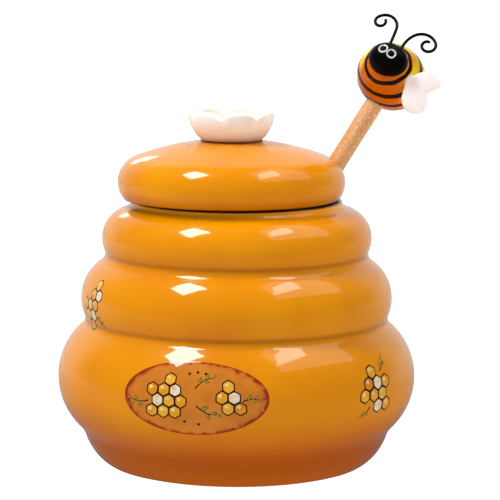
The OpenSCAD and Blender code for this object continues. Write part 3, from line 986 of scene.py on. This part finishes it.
def build_panel():
    """The oval: its ground in rings of points, and honeycomb, sprigs and dots painted on it."""
    painting = Painting(PANEL_AT[0], PANEL_AT[1], PANEL_WALL_R)
    turns = np.linspace(0, 2 * math.pi, PANEL_SIDES, endpoint=False)
    sway = 1 + 0.006 * np.sin(3 * turns + 1.0)
    points = list(painting.lay(np.zeros(1), np.zeros(1), GROUND_LIFT))
    edge = [0.0]
    for k in range(1, PANEL_RINGS + 1):
        u = PANEL_HALF[0] * k / PANEL_RINGS * np.cos(turns) * sway
        v = PANEL_HALF[1] * k / PANEL_RINGS * np.sin(turns) * sway
        points += list(painting.lay(u, v, GROUND_LIFT if k < PANEL_RINGS else 0.0))
        edge += [k / PANEL_RINGS] * PANEL_SIDES
    faces = fan(0, 1, PANEL_SIDES) + flipped(bands(PANEL_RINGS, PANEL_SIDES, 1))
    ground = mesh_object("oval_panel", points, faces, GROUND)
    set_values(ground, "edge", edge)
    place(ground, "pot", "amber_glaze")
    painting.base = GROUND_LIFT
    comb(painting, [(-1, -1, 1), (0, -1, 0), (-1, 0, 3), (0, 0, 1), (1, 0, 0), (-1, 1, 0),
                    (0, 1, 3), (0, 2, 1), (-2, 1, 2), (-2, -1, 0)], CELL, (-8.6, -1.2))
    comb(painting, [(0, 0, 0), (1, 0, 3), (0, 1, 1), (1, -1, 2), (0, -1, 1)], CELL, (10.2, 0.6))
    sprig(painting, -16.4, -1.6, 168.0, 1, 0.6)
    sprig(painting, 1.2, -2.4, -12.0, -1, 0.66)
    sprig(painting, 0.6, 3.4, 24.0, 1, 0.6)
    sprig(painting, 17.4, -0.6, -6.0, 1, 0.5)
    dot = np.radians(np.arange(10) * 36.0)
    dot = DOT_R * np.stack([np.cos(dot), np.sin(dot)], -1)
    for middle in ((-1.8, 8.6), (1.2, 9.2), (4.2, 8.8), (-3.0, -8.2), (2.0, -9.0)):
        painting.patch(middle + dot, OUTLINE, LAYER, 2)
    painting.build("panel_painting")


def build_side_paintings():
    """Honeycomb and sprigs low on the right and on the middle ring at the left."""
    right = Painting(64.5, 36.0, 65.0)
    comb(right, [(0, 0, 0), (1, 0, 1), (0, 1, 3), (1, 1, 0), (0, 2, 1), (1, -1, 0), (-1, 1, 2),
                 (-1, 0, 1), (0, -1, 3)], 2.85, (-1.6, -2.4))
    sprig(right, 3.4, 5.6, 62.0, -1, 0.5)
    sprig(right, -3.6, -6.4, 204.0, 1, 0.45)
    right.build("side_painting_right")
    left = Painting(-50.5, 62.5, 57.0)
    comb(left, [(0, 0, 1), (1, 0, 0), (0, 1, 0), (1, 1, 3), (1, 2, 1), (0, -1, 3), (0, -2, 0),
                (-1, 0, 0), (-1, -1, 1)], 2.6, (-0.8, -0.4))
    sprig(left, 2.8, -4.4, -40.0, 1, 0.5)
    left.build("side_painting_left")


build_panel()
build_side_paintings()


# ---------------------------------------------------------------- lid

def line_distance(points, polygon):
    """Signed distance from points to a closed polygon: below zero inside it."""
    a = polygon
    b = np.roll(polygon, -1, 0)
    edge = b - a
    size = (edge ** 2).sum(1)
    out = np.empty(len(points))
    for start in range(0, len(points), 4000):
        p = points[start:start + 4000, None, :]
        t = np.clip(((p - a) * edge).sum(2) / size, 0.0, 1.0)
        d = np.sqrt((((p - a) - t[..., None] * edge) ** 2).sum(2)).min(1)
        above = (a[:, 1] > p[..., 1]) != (b[:, 1] > p[..., 1])
        rise = np.where(np.abs(edge[:, 1]) < 1e-12, 1e-12, edge[:, 1])
        cross = a[:, 0] + (p[..., 1] - a[:, 1]) * edge[:, 0] / rise
        inside = (above & (p[..., 0] < cross)).sum(1) % 2 == 1
        out[start:start + 4000] = np.where(inside, -d, d)
    return out


def lid_line(skin, steps):
    """Closed outline of the lid's section as (radius, height), its outer face set in by a skin."""
    ring_r, ring_z, ring_round = LID_RING
    hollow = ring_round - LID_EDGE_WALL
    angle = math.degrees(math.atan2(ring_z - DOME_Z, ring_r))
    inner_dome = DOME_R - LID_WALL
    edge_top = ring_r + hollow * math.cos(math.radians(angle))
    inner_start = math.degrees(math.acos(edge_top / inner_dome))
    flange_in = FLANGE_R - FLANGE_T
    start = -math.degrees(math.asin((ring_z - LID_Z) / (ring_round - skin)))
    top = DOME_Z + math.sqrt((DOME_R - skin) ** 2 - KNOB_SEAT_R ** 2)
    finish = math.degrees(math.acos(KNOB_SEAT_R / (DOME_R - skin)))
    return ([(0.0, top)]
            + arc(0, DOME_Z, DOME_R - skin, finish, angle, steps)
            + arc(ring_r, ring_z, ring_round - skin, angle, start, steps)[1:]
            + [(FLANGE_R, LID_Z), (FLANGE_R, LID_Z - FLANGE_H), (flange_in, LID_Z - FLANGE_H),
               (flange_in, LID_Z + LID_HOLLOW_Z)]
            + arc(ring_r, ring_z, hollow, 0, angle, steps // 3)
            + arc(0, DOME_Z, inner_dome, inner_start, 90, steps // 2)[1:])


LID_LINE = np.array(lid_line(SKIN, 120))
# Mesh of the lid: heights of the block that cuts the slot, size of the even mesh, and the rounds,
# limit and step with which its points are drawn onto the skin
SLOT_CUT = (60.0, 150.0)
LID_VOXEL = 0.5
DRAW_ROUNDS = 4
DRAW_LIMIT = 0.6
NORMAL_STEP = 0.25
GRID_STEP = 0.12
GRID_FROM = (0.0, 87.0)
GRID_SIZE = (380, 290)


def lid_grid():
    """Signed distance to the lid's section at each point of an even grid of (radius, height)."""
    r = GRID_FROM[0] + GRID_STEP * np.arange(GRID_SIZE[0])
    z = GRID_FROM[1] + GRID_STEP * np.arange(GRID_SIZE[1])
    rr, zz = np.meshgrid(r, z, indexing="ij")
    flat = line_distance(np.stack([rr.ravel(), zz.ravel()], -1), LID_LINE)
    return flat.reshape(GRID_SIZE)


LID_GRID = lid_grid()
AT_KNOB = AT_LID @ shift(0, 0, KNOB_Z)
TO_LID = AT_LID.inverted()
TO_DIPPER = AT_DIPPER.inverted()


def slot_distance(points):
    """Distance from points to the slot for the handle: below zero inside it."""
    p = moved(points, TO_DIPPER)
    return np.hypot(np.minimum(p[:, 0], 0.0), p[:, 1]) - SLOT_R - SLOT_PLAY


def grid_value(r, z):
    """Value of the lid's grid at radii and heights, blended between its points."""
    u = np.clip((r - GRID_FROM[0]) / GRID_STEP, 0, GRID_SIZE[0] - 1.001)
    v = np.clip((z - GRID_FROM[1]) / GRID_STEP, 0, GRID_SIZE[1] - 1.001)
    i = u.astype(int)
    j = v.astype(int)
    u = u - i
    v = v - j
    return ((1 - u) * ((1 - v) * LID_GRID[i, j] + v * LID_GRID[i, j + 1])
            + u * ((1 - v) * LID_GRID[i + 1, j] + v * LID_GRID[i + 1, j + 1]))


def lid_distance(points):
    """Signed distance to the lid's skin, with the edges of the slot rounded."""
    p = moved(points, TO_LID)
    a = grid_value(np.hypot(p[:, 0], p[:, 1]), p[:, 2])
    b = -slot_distance(points)
    over = np.hypot(np.maximum(a + SLOT_EDGE, 0.0), np.maximum(b + SLOT_EDGE, 0.0))
    return np.minimum(np.maximum(a, b), -SLOT_EDGE) + over


def gradient(field, points, step=0.02):
    """Unit direction in which a distance field grows fastest."""
    parts = []
    for axis in range(3):
        offset = np.zeros(3)
        offset[axis] = step
        parts.append((field(points + offset) - field(points - offset)) / (2 * step))
    slope = np.stack(parts, -1)
    return slope / np.maximum(np.linalg.norm(slope, axis=1), 1e-9)[:, None]


def remeshed(thing, voxel):
    """Points and faces of an object after an even remesh. The object is removed."""
    remesh = thing.modifiers.new("even", "REMESH")
    remesh.mode = "VOXEL"
    remesh.voxel_size = voxel * MM
    graph = bpy.context.evaluated_depsgraph_get()
    mesh = thing.evaluated_get(graph).to_mesh()
    points = np.empty(len(mesh.vertices) * 3)
    mesh.vertices.foreach_get("co", points)
    faces = [tuple(p.vertices) for p in mesh.polygons]
    thing.evaluated_get(graph).to_mesh_clear()
    bpy.data.objects.remove(thing)
    return points.reshape(-1, 3) / MM, faces


def build_lid():
    """The dome with its slot: cut roughly, meshed evenly, then drawn onto the exact skin."""
    points, faces, _ = revolve([tuple(p) for p in LID_LINE], 192)
    rough = mesh_object("lid_rough", moved(points, AT_LID), faces, AMBER)
    outline = slot_outline()
    sides = len(outline)
    block = [(x, y, z) for z in SLOT_CUT for x, y in outline]
    ends = [tuple(range(sides))[::-1], tuple(range(sides, 2 * sides))]
    cutter = mesh_object("slot_cutter", moved(block, AT_DIPPER), bands(2, sides) + ends, AMBER)
    cut = rough.modifiers.new("slot", "BOOLEAN")
    cut.operation = "DIFFERENCE"
    cut.solver = "EXACT"
    cut.object = cutter
    bpy.context.view_layer.update()
    points, faces = remeshed(rough, LID_VOXEL)
    bpy.data.objects.remove(cutter)
    for _ in range(DRAW_ROUNDS):
        away = np.clip(lid_distance(points), -DRAW_LIMIT, DRAW_LIMIT)
        points = points - away[:, None] * gradient(lid_distance, points)
    normals = gradient(lid_distance, points, NORMAL_STEP)
    lid = mesh_object("lid_dome", points, faces, AMBER, normals)
    local = moved(points, TO_LID)
    radii = np.hypot(local[:, 0], local[:, 1])
    rise = local[:, 2] - LID_Z
    foot = np.exp(-((radii - KNOB_FOOT_R) / 0.9) ** 2) * (local[:, 2] > KNOB_Z - 4.0)
    # Painted shade at the flower's foot and towards the lower edge, and a painted shadow at the
    # seam. The flange's bottom is bare clay.
    set_glaze(lid, pool=np.clip(foot, 0.0, 1.0),
              deep=np.where(radii > FLANGE_R + 1.0, 0.55 * smooth(-rise, -5.0, 0.0), 0.0),
              bare=np.where(radii < FLANGE_R + 5.0, smooth(-rise, -0.45, -0.15), 0.0),
              seam=smooth(-rise, -0.55, -0.2) * (radii > FLANGE_R + 4.0))
    place(lid, "lid", "amber_glaze", "lid")


def slot_outline():
    """Outline of the slot in the dipper's frame: round behind, and open towards +X."""
    r = SLOT_R + SLOT_PLAY
    back = arc(0.0, 0.0, r, 90.0, 270.0, 18)
    return back + [(90.0, -r), (90.0, r)]


build_lid()


# ---------------------------------------------------------------- flower knob

def petal_share(turn):
    """0 in the middle of a petal and 1 in the dip between two."""
    place_in = (turn - PETAL_TURN) / 360.0 * PETALS
    return np.abs(place_in - np.round(place_in)) * 2


def build_flower():
    """The scalloped bowl, in rows of points from under it, over its lip, to its inner floor."""
    bowl_round = (KNOB_H ** 2 + (KNOB_R - KNOB_FOOT_R) ** 2) / (2 * (KNOB_R - KNOB_FOOT_R))
    bowl_x = KNOB_R - bowl_round
    inner_round = bowl_round - PETAL_T
    turns = np.linspace(0.0, 360.0, FLOWER_SIDES, endpoint=False)
    share = petal_share(turns)
    top = KNOB_H - PETAL_DIP * share ** 2.3 + PETAL_RISE
    crease = 1.0 - share ** 3
    lip = PETAL_T * LIP_SHARE
    rows = []
    pools = []

    def row(radius, height, pool):
        rows.append((radius, height))
        pools.append(pool)

    up = np.linspace(0.0, 1.0, 16)
    zero = np.zeros(FLOWER_SIDES)
    for r in (0.0, 4.0, 8.0, KNOB_FOOT_R - 0.4):
        row(zero + r, zero, zero)
    for t in up:
        height = 0.25 + t * (top - lip - 0.25)
        angle = np.arcsin(np.clip((height - KNOB_H) / bowl_round, -1, 0))
        bulge = CREASE_DEPTH * (1 - crease) * t ** 1.3
        flare = -BOWL_WAIST * (1 - t) * t
        # Painted shade and a painted amber reflection, tan towards the flower's foot
        row(bowl_x + bowl_round * np.cos(angle) - bulge - SKIN * 0.6 + flare, height,
            zero + 0.5 * (1 - t) ** 4)
    out_r, out_z = rows[-1]
    for t in np.linspace(0.0, 1.0, 9)[1:-1]:
        a = math.pi * t
        row(out_r - lip * (1 - math.cos(a)), out_z + lip * math.sin(a), zero)
    in_r = out_r - 2 * lip
    for t in up:
        height = out_z + t * (KNOB_FLOOR + 0.5 - out_z)
        angle = np.arcsin(np.clip((height - KNOB_H) / inner_round, -1, 0))
        wall = bowl_x + inner_round * np.cos(angle) - 0.5 * (1 - crease) * (1 - t)
        blend = smooth(t, 0.0, 0.35)
        # Painted shade, darker down the inner wall towards the cup's floor
        row(in_r * (1 - blend) + (wall - 0.15) * blend, height, zero + 0.25 * t ** 3)
    edge_r = rows[-1][0]
    # Painted shade on the cup's floor, darkest at its edge
    row(edge_r - 0.5, zero + KNOB_FLOOR + 0.12, zero + 0.4)
    for r in (0.85, 0.65, 0.45, 0.2):
        row(edge_r * r, zero + KNOB_FLOOR, zero + 0.3 * r)
    row(zero, zero + KNOB_FLOOR, zero)
    angle = np.radians(turns) - math.pi / 2
    points = np.concatenate([np.stack([radius * np.cos(angle), radius * np.sin(angle), height], -1)
                             for radius, height in rows])
    faces = bands(len(rows), FLOWER_SIDES)
    flower = mesh_object("flower_cup", moved(points, AT_KNOB), faces, WHITE)
    set_values(flower, "pool", np.concatenate(pools))
    join = flower.modifiers.new("weld", "WELD")
    join.merge_threshold = 0.001 * MM
    place(flower, "lid", "white_glaze", "knob_flower")


def build_button():
    """Domed middle of the flower, covered with small rounded stamens."""
    ball = (BUTTON_R ** 2 + BUTTON_H ** 2) / (2 * BUTTON_H)
    low = math.degrees(math.acos(BUTTON_R / ball))
    line = arc(0, BUTTON_H - ball, ball - BUTTON_INSET, low, 90, 40)
    line[-1] = (0.0, line[-1][1])
    points, faces, _ = revolve([(0.0, 0.0), (line[0][0], 0.0)] + line, 160)
    centre = np.array([0.0, 0.0, BUTTON_H - ball])
    golden = math.pi * (3 - math.sqrt(5))
    cap = 1 - math.sin(math.radians(low))
    heights = 1 - cap * (np.arange(STAMENS) + 0.5) / STAMENS
    spread = np.sqrt(1 - heights ** 2)
    seeds = np.stack([spread * np.cos(golden * np.arange(STAMENS)),
                      spread * np.sin(golden * np.arange(STAMENS)), heights], -1)
    outward = points - centre
    length = np.linalg.norm(outward, axis=1)
    outward = outward / length[:, None]
    near = np.arccos(np.clip(outward @ seeds.T, -1, 1)).min(1) * ball
    swell = np.clip(1 - (near / STAMEN_R) ** 2, 0.0, 1.0)
    on_dome = length > ball - 0.6
    points = points + outward * (STAMEN_RISE * np.sqrt(swell) * on_dome)[:, None]
    button = mesh_object("flower_button", moved(points, AT_KNOB @ shift(0, 0, KNOB_FLOOR)), faces,
                         YELLOW)
    # Painted shade in the pits between the stamens, and on the button's side and underside
    set_values(button, "pool", np.where(on_dome, 1 - smooth(swell, 0.0, 0.5), 1.0))
    return place(button, "lid", "yellow_glaze", "knob_centre")


def build_bead():
    """Uneven bead of glaze where the flower's foot stands on the dome."""
    turns = np.radians(np.linspace(0, 360, 180, endpoint=False))
    radius = KNOB_FOOT_R + 0.02 + 0.06 * np.sin(5 * turns) + 0.04 * np.sin(11 * turns + 1)
    path = np.stack([radius * np.cos(turns), radius * np.sin(turns), 0 * turns - 0.05], -1)
    points, faces = tube(path, BEAD_R, 12, closed=True)
    bead = mesh_object("knob_bead", moved(points, AT_KNOB), faces, AMBER)
    # Painted shade: the bead is darkened all round where the flower stands on the dome
    set_glaze(bead, pool=np.ones(len(points)), deep=np.ones(len(points)))
    place(bead, "lid", "amber_glaze")


build_flower()
build_button()
build_bead()


# ---------------------------------------------------------------- dipper

def build_turned(name, line, matrix, node):
    """A turned wooden piece. Its grain runs along its own axis."""
    points, faces, _ = revolve(line, 96)
    piece = mesh_object(name, moved(points, matrix), faces, WOOD)
    set_values(piece, "grain", points, "FLOAT_VECTOR")
    return place(piece, "dipper", "light_wood", node)


def stepped(start, end, step):
    """Heights from start to end, about a step apart."""
    return list(np.linspace(start, end, max(2, int(round((end - start) / step)) + 1)))


def build_dipper():
    """The dowel and the grooved head, which stands on the pot's floor."""
    low = HEAD_TOP - HEAD_SOCKET
    top = HANDLE_REACH - 4.0
    radius = HANDLE_R - 0.06
    body = [(radius + 0.04 * math.sin(0.31 * z), z) for z in stepped(low + 0.5, top - 0.5, 1.5)]
    handle = [(0.0, low), (radius - 0.5, low)] + body + [(radius - 0.5, top), (0.0, top)]
    build_turned("dipper_stick", handle, AT_DIPPER, "dipper_handle")
    line = [(HEAD_NECK_R - 0.2, HEAD_TOP - 0.1), (HEAD_R - 0.1, HEAD_STRAIGHT)]
    for i in range(GROOVE_COUNT):
        top_z = HEAD_STRAIGHT - GROOVE_PITCH * (i + 0.75) + GROOVE_W
        low_z = top_z - GROOVE_W
        line += [(head_radius(top_z), top_z), (CORE_R, top_z), (CORE_R, low_z),
                 (head_radius(low_z), low_z)]
        if i < GROOVE_COUNT - 1:
            for z in (low_z - 0.6, low_z - 1.2):
                line.append((head_radius(z), z))
    end_z = line[-1][1]
    line += [(head_radius(z), z) for z in stepped(-HEAD_R + 0.2, end_z, 0.7)[::-1][1:]]
    line = rounded([(0.0, HEAD_TOP)] + line + [(0.0, -HEAD_R + 0.1)], 0.35, 3)
    build_turned("dipper_ribs", line[::-1], AT_DIPPER, "dipper_head")


def head_radius(z):
    """Radius of the dipper's head at a height: straight above its round end."""
    if z >= 0:
        return HEAD_R - 0.1
    return math.sqrt(max(0.0, (HEAD_R - 0.1) ** 2 - z * z))


build_dipper()


# ---------------------------------------------------------------- bee

def ellipsoid_line(half, r):
    """Half outline, from the bottom up, of an ellipsoid about Z."""
    line = [(r * math.cos(a), half * math.sin(a))
            for a in np.radians(np.linspace(-90.0, 90.0, BALL_STEPS + 1))]
    line[0] = (0.0, -half)
    line[-1] = (0.0, half)
    return line


def build_bee_body():
    """The round body, a little flattened, with a dent for the head."""
    points, faces, _ = revolve(ellipsoid_line(BODY_HALF - 0.05, BODY_R - 0.05), 144)
    points = moved(points, turn_x(90.0))
    dent = np.linalg.norm(points - np.array(BEE_HEAD_AT), axis=1)
    points = points * (1 - 0.02 * np.exp(-(dent / 8.5) ** 4))[:, None]
    points[:, 2] *= BODY_FLAT
    body = mesh_object("bee_round_body", moved(points, AT_BEE), faces, BEE)
    across = np.hypot(points[:, 0], points[:, 2])
    set_values(body, "polar", np.degrees(np.arctan2(across, -points[:, 1])))
    flank = smooth(np.abs(points[:, 0]) / BODY_R, 0.5, 0.95)
    set_values(body, "up", points[:, 2] * 0.55 / BODY_R + 1.1 * flank)
    return place(body, "dipper", "bee_glaze", "bee_body")


def build_bee_head():
    """The smooth head, wider than it is high."""
    points, faces, _ = revolve(ellipsoid_line(BEE_HEAD_HALF - 0.03, BEE_HEAD_R - 0.03), 120)
    points = moved(points, turn_y(90.0))
    head = mesh_object("bee_round_head", moved(points, AT_BEE_HEAD), faces, BLACK)
    return place(head, "dipper", "black_glaze", "bee_head")


def on_head(directions, lift):
    """Points of the head's surface in given directions from its middle, lifted off it."""
    size = np.array([BEE_HEAD_HALF, BEE_HEAD_R, BEE_HEAD_R]) - 0.03
    d = np.asarray(directions, float)
    reach = 1.0 / np.linalg.norm(d / size, axis=1)
    points = d * reach[:, None]
    outward = points / size ** 2
    outward /= np.linalg.norm(outward, axis=1)[:, None]
    return points + outward * lift


def eye_points(side, radius, turns, lift):
    """Points round an eye's middle on the head, at a radius from the middle."""
    frame_of_eye = turn_x(-EYE_LIFT) @ turn_y(EYE_ROLL) @ turn_z(side * EYE_SPREAD / 2)
    flat = np.stack([radius * np.cos(turns), -np.full_like(turns, BEE_HEAD_R),
                     radius * np.sin(turns)], -1)
    return on_head(moved(flat, frame_of_eye), lift)


def build_eyes():
    turns = np.linspace(0, 2 * math.pi, 72, endpoint=False)
    middle = EYE_R - EYE_W / 2
    for side, word in ((-1, "left"), (1, "right")):
        ring, faces = tube(eye_points(side, middle, turns, 0.05), EYE_LINE_R, 16, closed=True)
        eye = mesh_object("eye_ring_" + word, moved(ring, AT_BEE_HEAD), faces, EYE_GREY)
        place(eye, "dipper", "white_glaze", "bee_eye_" + word)
        points = np.concatenate([eye_points(side, max(radius, AXIS_R * 100), turns, lift)
                                 for radius, lift in PUPIL])
        faces = bands(len(PUPIL), len(turns))
        pupil = mesh_object("pupil_" + word, moved(points, AT_BEE_HEAD), faces, BLACK)
        place(pupil, "dipper", "black_glaze")


def lobe_depth(points, end, radius):
    """Signed distance in a plane to a lobe: a round root and a round end, joined by tangents."""
    end = np.asarray(end, float)
    length = np.linalg.norm(end)
    toward = end / length
    x = points @ np.array([-toward[1], toward[0]])
    x = np.abs(x)
    y = points @ toward
    slope = (ROOT_R - radius) / length
    across = math.sqrt(1 - slope * slope)
    k = y * across - x * slope
    near = np.hypot(x, y) - ROOT_R
    far = np.hypot(x, y - length) - radius
    between = x * across + y * slope - ROOT_R
    return np.where(k < 0, near, np.where(k > across * length, far, between))


def wing_edge(turns, middle):
    """Distance from a wing's middle to its edge, in each direction."""
    ways = np.stack([np.cos(turns), np.sin(turns)], -1)
    reach = np.zeros(len(turns))
    for _ in range(60):
        at = middle + ways * reach[:, None]
        depth = None
        for x, z, radius in LOBES:
            lobe = lobe_depth(at, (x, z), radius)
            if depth is None:
                depth = lobe
                continue
            h = np.clip(0.5 + 0.5 * (lobe - depth) / LOBE_BLEND, 0, 1)
            depth = lobe * (1 - h) + depth * h - LOBE_BLEND * h * (1 - h)
        depth = depth + WING_INSET
        reach = reach - depth * 0.8
    return reach


def wing_frame(side):
    """Place of a wing on the body's side."""
    turn = WING_TURN[side]
    bend = math.radians(turn)
    face = WING_PROUD + math.hypot(BODY_R * math.sin(bend), BODY_HALF * math.cos(bend))
    root = shift(side * ROOT_OUT, WING_T / 2 - face, WING_RISE[side])
    return AT_BEE @ turn_z(side * turn) @ root


def build_wings():
    """Puffy plates: rings of points that run from the middle of one face round the edge."""
    sides = 200
    turns = np.linspace(0.0, 2 * math.pi, sides, endpoint=False)
    middle = np.array(WING_MIDDLE)
    reach = wing_edge(turns, middle)
    half = WING_T / 2 - 0.05
    slants = np.radians(np.linspace(0.0, 180.0, 61))[1:-1]
    rows = []
    for a in slants:
        share = abs(math.sin(a)) ** (2 / WING_BULGE)
        height = math.copysign(abs(math.cos(a)) ** (2 / WING_BULGE), math.cos(a)) * half
        spot = middle + np.stack([np.cos(turns), np.sin(turns)], -1) * (reach * share)[:, None]
        rows.append(np.stack([spot[:, 0], np.full(sides, height), spot[:, 1]], -1))
    caps = np.array([[middle[0], half, middle[1]], [middle[0], -half, middle[1]]])
    points = np.concatenate([caps] + rows)
    faces = (fan(0, 2, sides) + flipped(fan(1, len(points) - sides, sides))
             + flipped(bands(len(rows), sides, 2)))
    for side, word in ((-1, "left"), (1, "right")):
        local = points * (side, 1, 1)
        turned_faces = [f[::side] for f in faces]
        local = moved(local, wing_frame(side))
        wing = mesh_object("wing_" + word, local, turned_faces, WING_WHITE)
        root = np.hypot(points[:, 0], points[:, 2])
        # Painted shade towards the root, where the wing meets the body
        set_values(wing, "pool", 0.6 * smooth(-root, -4.5, 0.0))
        place(wing, "dipper", "white_glaze", "bee_wing_" + word)


def antenna_path(arcs):
    """Middle line of an antenna in its own frame, in the XZ plane."""
    path = []
    heading = 90.0
    x = 0.0
    z = 0.0
    for radius, sweep in arcs:
        for t in np.linspace(0.0, sweep, BEND_STEPS, endpoint=False):
            a = math.radians(heading)
            b = math.radians(heading - t)
            path.append((x + radius * (math.sin(a) - math.sin(b)), 0.0,
                         z + radius * (math.cos(b) - math.cos(a))))
        a = math.radians(heading)
        b = math.radians(heading - sweep)
        x += radius * (math.sin(a) - math.sin(b))
        z += radius * (math.cos(b) - math.cos(a))
        heading -= sweep
    return np.array(path)


def build_antennae():
    for side, word in ((-1, "left"), (1, "right")):
        path = antenna_path(ANTENNA_ARCS[side])
        if side < 0:
            path[:, 0] *= -1
        foot = shift(side * ANTENNA_GAP / 2, 0, BEE_HEAD_R - ANTENNA_ROOT)
        points, faces = tube(moved(path, AT_BEE_HEAD @ foot), WIRE_R - 0.02, 16)
        antenna = mesh_object("antenna_" + word, points, faces, WIRE)
        place(antenna, "dipper", "black_wire", "bee_antenna_" + word)


build_bee_body()
build_bee_head()
build_eyes()
build_wings()
build_antennae()


# ---------------------------------------------------------------- floor, light and camera

def build_floor():
    """A wide, seamless pale floor."""
    line = [(0.0, 0.0), (200.0, 0.0), (500.0, 0.0), (2000.0, 0.0), (14000.0, 0.0)]
    points, faces, _ = revolve(line, 64)
    floor = mesh_object("studio_floor", points, faces, studio_floor())


def direction(turn, lift):
    """Unit vector from the pot, at a turn from its front and a lift above level."""
    a = math.radians(turn)
    e = math.radians(lift)
    return Vector((math.sin(a) * math.cos(e), -math.cos(a) * math.cos(e), math.sin(e)))


# Soft boxes as (name, turn, lift, size in metres, radiance, spin, tilt, distance in metres). A
# square box that is spun and tilted shows as a lozenge in the glaze.
BOXES = [("key_left", -54.0, 62.0, (0.52, 0.52), 26.0, 135.0, 62.0, 1.1),
         ("key_right", 84.0, 67.0, (0.58, 0.58), 7.5, 27.0, 71.0, 1.1),
         ("right_glow", 90.0, 66.0, (1.0, 1.0), 1.6, 27.0, 56.0, 1.1),
         ("back_left", -147.0, 21.0, (0.3, 0.14), 4.0, 0.0, 0.0, 1.4)]
BOX_AIM = (0.0, 0.0, 0.07)


def build_lights():
    for name, turn, lift, size, radiance, spin, tilt, distance in BOXES:
        away = direction(turn, lift)
        data = bpy.data.lights.new(name, "AREA")
        data.shape = "RECTANGLE"
        data.size = size[0]
        data.size_y = size[1]
        data.energy = radiance * math.pi * size[0] * size[1]
        lamp = bpy.data.objects.new(name, data)
        bpy.context.scene.collection.objects.link(lamp)
        facing = away.to_track_quat("Z", "Y").to_matrix().to_4x4()
        lozenge = turn_z(spin) @ turn_x(tilt) @ turn_z(45.0 if tilt else 0.0)
        at = Matrix.Translation(Vector(BOX_AIM) + away * distance)
        lamp.matrix_world = at @ facing @ lozenge


# Brightness of the room: a white sweep behind the pot, and a dark room above and in front
ROOM_DARK = 0.22
ROOM_BRIGHT = 0.8
ROOM_FROM = 0.35
ROOM_TO = 0.72


def build_world():
    """A room that is bright behind the pot only."""
    world = bpy.data.worlds.new("studio")
    bpy.context.scene.world = world
    world.use_nodes = True
    tree = world.node_tree
    background = tree.nodes["Background"]
    place_of = tree.nodes.new("ShaderNodeTexCoord")
    behind = tree.nodes.new("ShaderNodeVectorMath")
    behind.operation = "DOT_PRODUCT"
    behind.inputs[1].default_value = BACKWARDS
    ramp = tree.nodes.new("ShaderNodeMapRange")
    ramp.interpolation_type = "SMOOTHSTEP"
    tree.links.new(place_of.outputs["Generated"], behind.inputs[0])
    tree.links.new(behind.outputs["Value"], ramp.inputs["Value"])
    ramp.inputs["From Min"].default_value = ROOM_FROM
    ramp.inputs["From Max"].default_value = ROOM_TO
    ramp.inputs["To Min"].default_value = ROOM_DARK
    ramp.inputs["To Max"].default_value = ROOM_BRIGHT
    tree.links.new(ramp.outputs["Result"], background.inputs["Strength"])
    background.inputs["Color"].default_value = (1.0, 0.995, 0.985, 1.0)


CAMERA_DISTANCE = 920.0
CAMERA_TARGET = (0.0, 0.0, 60.0)
CAMERA_ASIDE = (4.81, 18.55)
CAMERA_ROLL = 0.25
CAMERA_LENS = 180.3
SENSOR = 36.0


def build_camera():
    """The photo's camera: it looks at the target, moved aside within the picture."""
    back = direction(CAMERA_TURN, CAMERA_LIFT)
    right = direction(CAMERA_TURN + 90.0, 0.0)
    up = back.cross(right)
    aim = Vector(CAMERA_TARGET) + right * CAMERA_ASIDE[0] + up * CAMERA_ASIDE[1]
    data = bpy.data.cameras.new("camera")
    data.lens = CAMERA_LENS
    data.sensor_width = SENSOR
    data.sensor_fit = "HORIZONTAL"
    data.clip_start = 0.01
    data.clip_end = 50.0
    camera = bpy.data.objects.new("camera", data)
    bpy.context.scene.collection.objects.link(camera)
    axes = Matrix((right, up, back)).transposed().to_4x4()
    camera.matrix_world = (Matrix.Translation((aim + back * CAMERA_DISTANCE) * MM) @ axes
                           @ Matrix.Rotation(math.radians(CAMERA_ROLL), 4, "Z"))
    bpy.context.scene.camera = camera


build_floor()
build_world()
build_lights()
build_camera()

scene = bpy.context.scene
scene.view_settings.view_transform = "Standard"
scene.view_settings.look = "None"
